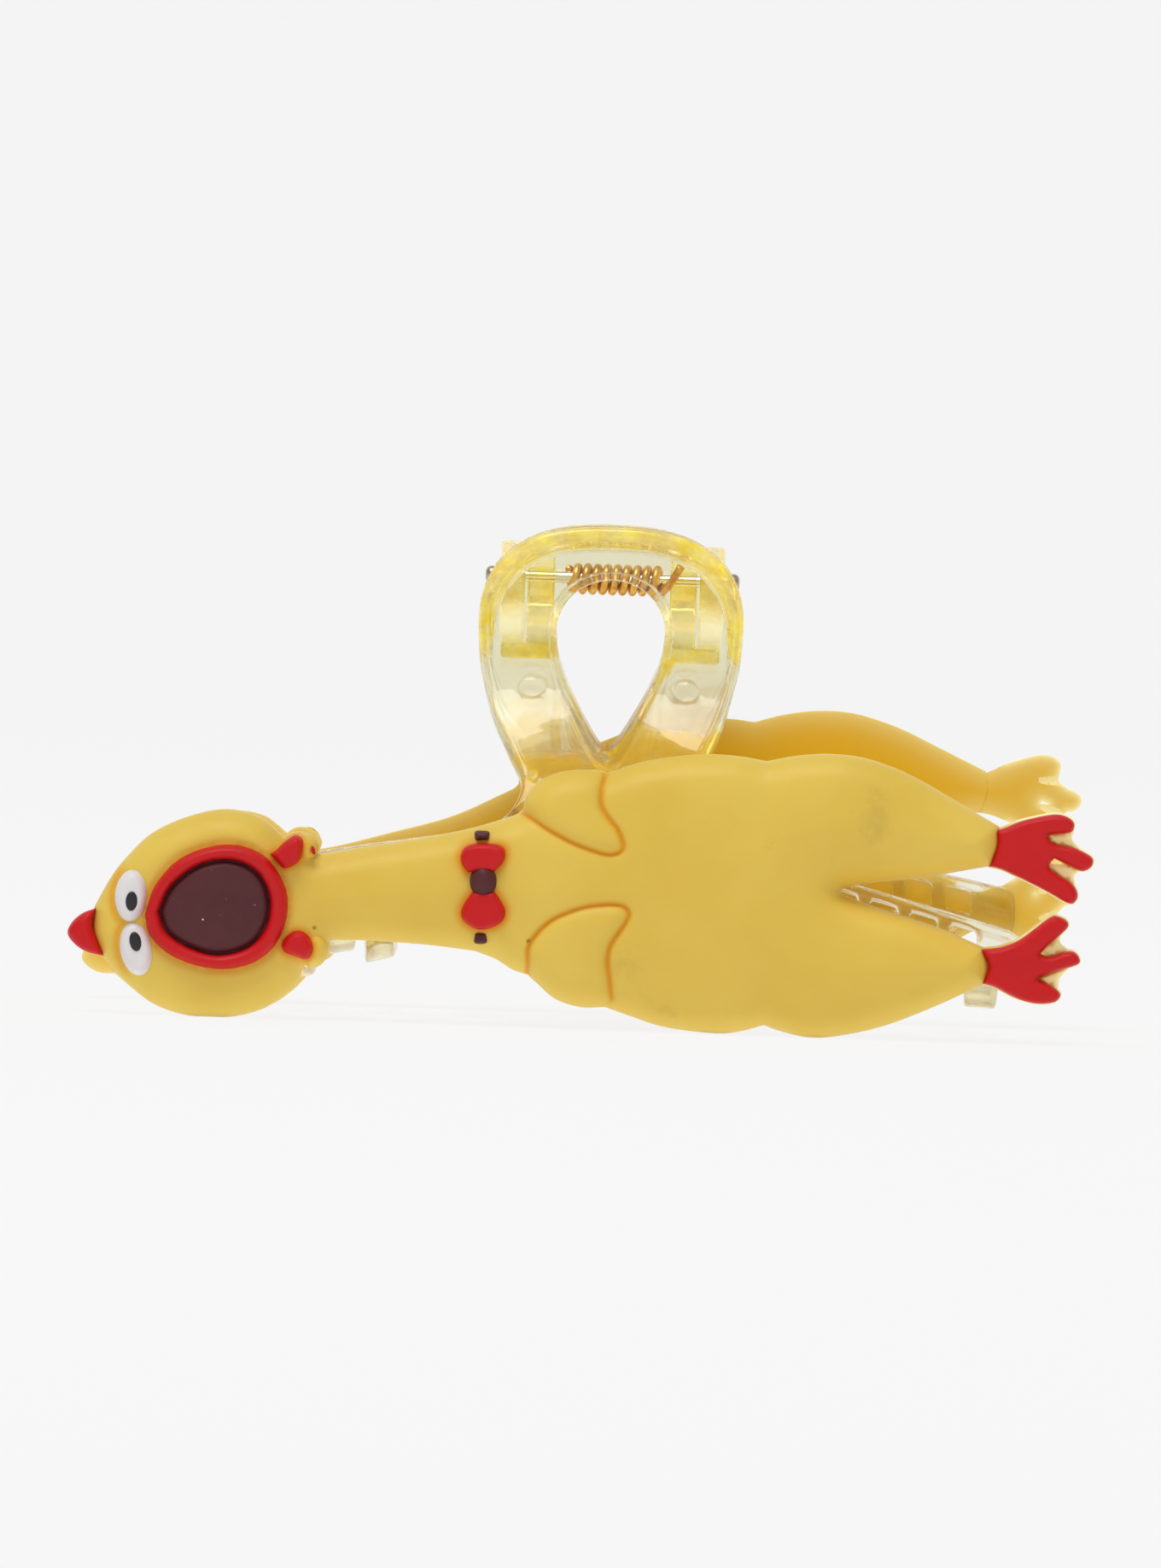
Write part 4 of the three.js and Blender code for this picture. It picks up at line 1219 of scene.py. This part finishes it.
# the bar on the handle under each knuckle, as (y, z)
SHELF = [[-5.0, -7.5], [-3.6, -7.5], [-3.3, -7.9], [-3.3, -8.9], [-3.6, -9.3], [-5.0, -9.3]]
SHELF_START, SHELF_END = 6.3, 12.3
KNUCKLES = {
    "front": {"start": 6.5, "end": 9.5, "radius": 3.4},
    "rear": {"start": 9.8, "end": 12.6, "radius": 4.0},
}


def paint_jaw(mesh):
    """Mark where painted light goes: a painted yellow glow, a painted white glow on the knuckles, and
    painted warm patches for the chicken seen through the plastic.
    """
    x, y, z = np.array([v.co for v in mesh.vertices]).T
    lip_foot = HANDLE_INNER + WALL
    on_lip = smoothstep(-y, lip_foot + 0.1, lip_foot + 1.2) * (z > LIP_FOOT)
    inner = smoothstep(y, -HANDLE_INNER, -HANDLE_INNER + 0.5) * (np.abs(x) > 6.2)
    on_shelf = inner * (np.abs(z + 8.4) < 1.0)
    on_knuckle = inner * (z > -7.4)
    # a band of painted white glow low on the knuckles
    white = dip(z + 4.5, 1.3)
    paint(mesh, "glow", np.maximum(on_lip, np.maximum(on_shelf, on_knuckle * (z < 1) * (1 - white))))
    paint(mesh, "white_glow", on_knuckle * np.where(z < 1, 0.9 * white, 0.35))
    # painted warm patches for the chicken seen through the plastic: low on the handle, and along the hole's
    # right edge
    right = (x > 0).astype(float)
    low = np.clip((-z - 17.5 + 3 * right) / 3, 0, 1) * (z > -26) * (np.abs(x) < 13)
    hole_edge = right * np.exp(-np.abs(x - np.interp(-z, [8.5, 19], [7, 2]))) * (z > -20)
    paint(mesh, "chicken_seen_through", 0.45 * np.maximum(low, hole_edge * (z < -8.5)))


def jaw(side):
    """One clear jaw as one closed skin. The rear one is the same, turned about and with wider knuckles."""
    knuckle = KNUCKLES[side]
    shapes = [jaw_wall(), lip()]
    for sign in (1, -1):
        low, high = sorted((sign * knuckle["start"], sign * knuckle["end"]))
        shapes.append(block(knuckle_section(knuckle["radius"]), low, high))
        low, high = sorted((sign * SHELF_START, sign * SHELF_END))
        shapes.append(block(SHELF, low, high, 0.4))
    mesh = unite(f"{side}_jaw", shapes)
    shade_smooth(mesh)
    mesh.set_sharp_from_angle(angle=math.radians(38))
    paint_jaw(mesh)
    matrix = TO_ROW if side == "front" else TO_ROW @ Matrix.Rotation(math.pi, 4, "Z")
    show(f"{side}_clear_jaw", mesh, "clear_plastic", f"{side}_half", f"{side}_jaw", matrix=matrix)


# ---------- pin and spring ----------


def hinge_pin():
    """The shaft with a formed head at each end."""
    end = [(-14.3, 0.0), (-14.28, 0.5), (-14.1, 0.85), (-13.8, PIN_HEAD), (-13.3, PIN_HEAD), (-13.2, 0.7)]
    profile = end + [(-13.15, PIN_RADIUS)]
    profile += [(-along, radius) for along, radius in reversed(profile)]
    mesh = mesh_of("pin", *turned(profile, (0, 0, 0), (1, 0, 0)))
    mesh.set_sharp_from_angle(angle=math.radians(40))
    show("pin", mesh, "steel", "front_half", "hinge_pin")


def spring():
    """The close coil round the pin, with a leg at each end that bears on a handle."""
    half = COIL_TURNS * COIL_PITCH / 2
    t = np.linspace(0, 1, int(COIL_TURNS * 28))
    angle = math.pi + 0.9 + 2 * math.pi * COIL_TURNS * t
    coil = np.column_stack([
        half * (1 - 2 * t) + 0.4,
        COIL_RADIUS * np.cos(angle),
        COIL_RADIUS * np.sin(angle) - 0.12,
    ])

    def leg(end, side, lean, rise):
        s = np.linspace(0, 1, 12)[1:, None]
        target = np.array([end[0] + lean, side * (HANDLE_INNER - WIRE - 0.1), rise])
        bend = np.array([end[0] + 0.3 * lean, side * 3.2, side * 0.9])
        return (1 - s) ** 2 * end + 2 * s * (1 - s) * bend + s * s * target

    path = np.vstack([leg(coil[0], -1, 1.9, 1.7)[::-1], coil, leg(coil[-1], 1, 0.4, 0.4)])
    mesh = mesh_of("spring", *tube(path, WIRE, 12))
    obj = show("spring", mesh, "spring_metal", None, "torsion_spring")
    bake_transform(obj)


# ---------- stage, light and camera, in metres ----------

CLIP_MIDDLE = (0, 0, 0.03)
VIEW_DISTANCE, VIEW_HEIGHT, SENSOR = 2.1, 0.1744, 36
VIEW_ROLL, VIEW_RISE = math.radians(2.0), math.radians(1.6)


def stage():
    """A plain pale light table that curves up behind the clip."""
    g = Graph("paper")
    g.principled(
        Base_Color=(0.09, 0.09, 0.09),
        Roughness=0.9,
        Specular_IOR_Level=0.0,
        Emission_Color=(1.0, 1.0, 1.0),
        Emission_Strength=0.85,
    )
    half_width, bend_from, bend_radius = 6.0, 3.0, 1.5
    profile = [(-half_width, 0.0), (bend_from, 0.0)]
    for turn in range(10, 91, 10):
        a = math.radians(turn)
        profile.append((bend_from + bend_radius * math.sin(a), bend_radius - bend_radius * math.cos(a)))
    profile.append((bend_from + bend_radius, 6.0))
    verts = [(x, y, z) for y, z in profile for x in (-half_width, half_width)]
    faces = [(2 * i, 2 * i + 1, 2 * i + 3, 2 * i + 2) for i in range(len(profile) - 1)]
    mesh = bpy.data.meshes.new("paper")
    mesh.from_pydata(verts, [], faces)
    shade_smooth(mesh)
    mesh.materials.append(g.material)
    obj = bpy.data.objects.new("paper", mesh)
    bpy.context.scene.collection.objects.link(obj)


def area_light(name, place, size, power):
    """A soft box that looks at the clip."""
    data = bpy.data.lights.new(name, "AREA")
    data.shape = "RECTANGLE"
    data.size, data.size_y = size
    data.energy = power
    obj = bpy.data.objects.new(name, data)
    obj.location = place
    obj.rotation_euler = (Vector(CLIP_MIDDLE) - Vector(place)).to_track_quat("-Z", "Y").to_euler()
    bpy.context.scene.collection.objects.link(obj)


def lights():
    """Even light from all round, a soft box above and a weak one in front."""
    world = bpy.data.worlds.new("room")
    world.use_nodes = True
    background = world.node_tree.nodes["Background"]
    background.inputs[0].default_value = (1, 1, 1, 1)
    background.inputs[1].default_value = 0.4
    bpy.context.scene.world = world
    area_light("key", (-0.25, -0.6, 1.5), (0.9, 0.7), 12.5)
    area_light("fill", (0.5, -1.6, 0.5), (1.2, 0.8), 0.8)


def camera():
    """The photographer's view: nearly level, from far away, rolled a little."""
    data = bpy.data.cameras.new("camera")
    data.sensor_fit = "VERTICAL"
    data.sensor_height = SENSOR
    data.lens = SENSOR * VIEW_DISTANCE / VIEW_HEIGHT
    data.clip_end = 50
    data.dof.use_dof = False
    obj = bpy.data.objects.new("camera", data)
    back = Vector((0, -math.cos(VIEW_RISE), math.sin(VIEW_RISE)))
    up = Vector((0, 0, 1)) - back * back.z
    up.normalize()
    right = up.cross(back)
    right, up = (
        right * math.cos(VIEW_ROLL) + up * math.sin(VIEW_ROLL),
        up * math.cos(VIEW_ROLL) - right * math.sin(VIEW_ROLL),
    )
    front_plane = Vector((0, -25, 0)) * MM
    aim = PIN_AT + front_plane + right * -3.6 * MM + up * -22.4 * MM
    rotation = Matrix((right, up, back)).transposed()
    obj.matrix_world = Matrix.Translation(aim + back * VIEW_DISTANCE) @ rotation.to_4x4()
    bpy.context.scene.collection.objects.link(obj)
    bpy.context.scene.camera = obj


jaw("front")
jaw("rear")
hinge_pin()
spring()
chicken("front")
chicken("rear")
stage()
lights()
camera()

bpy.context.scene.view_settings.view_transform = "Standard"
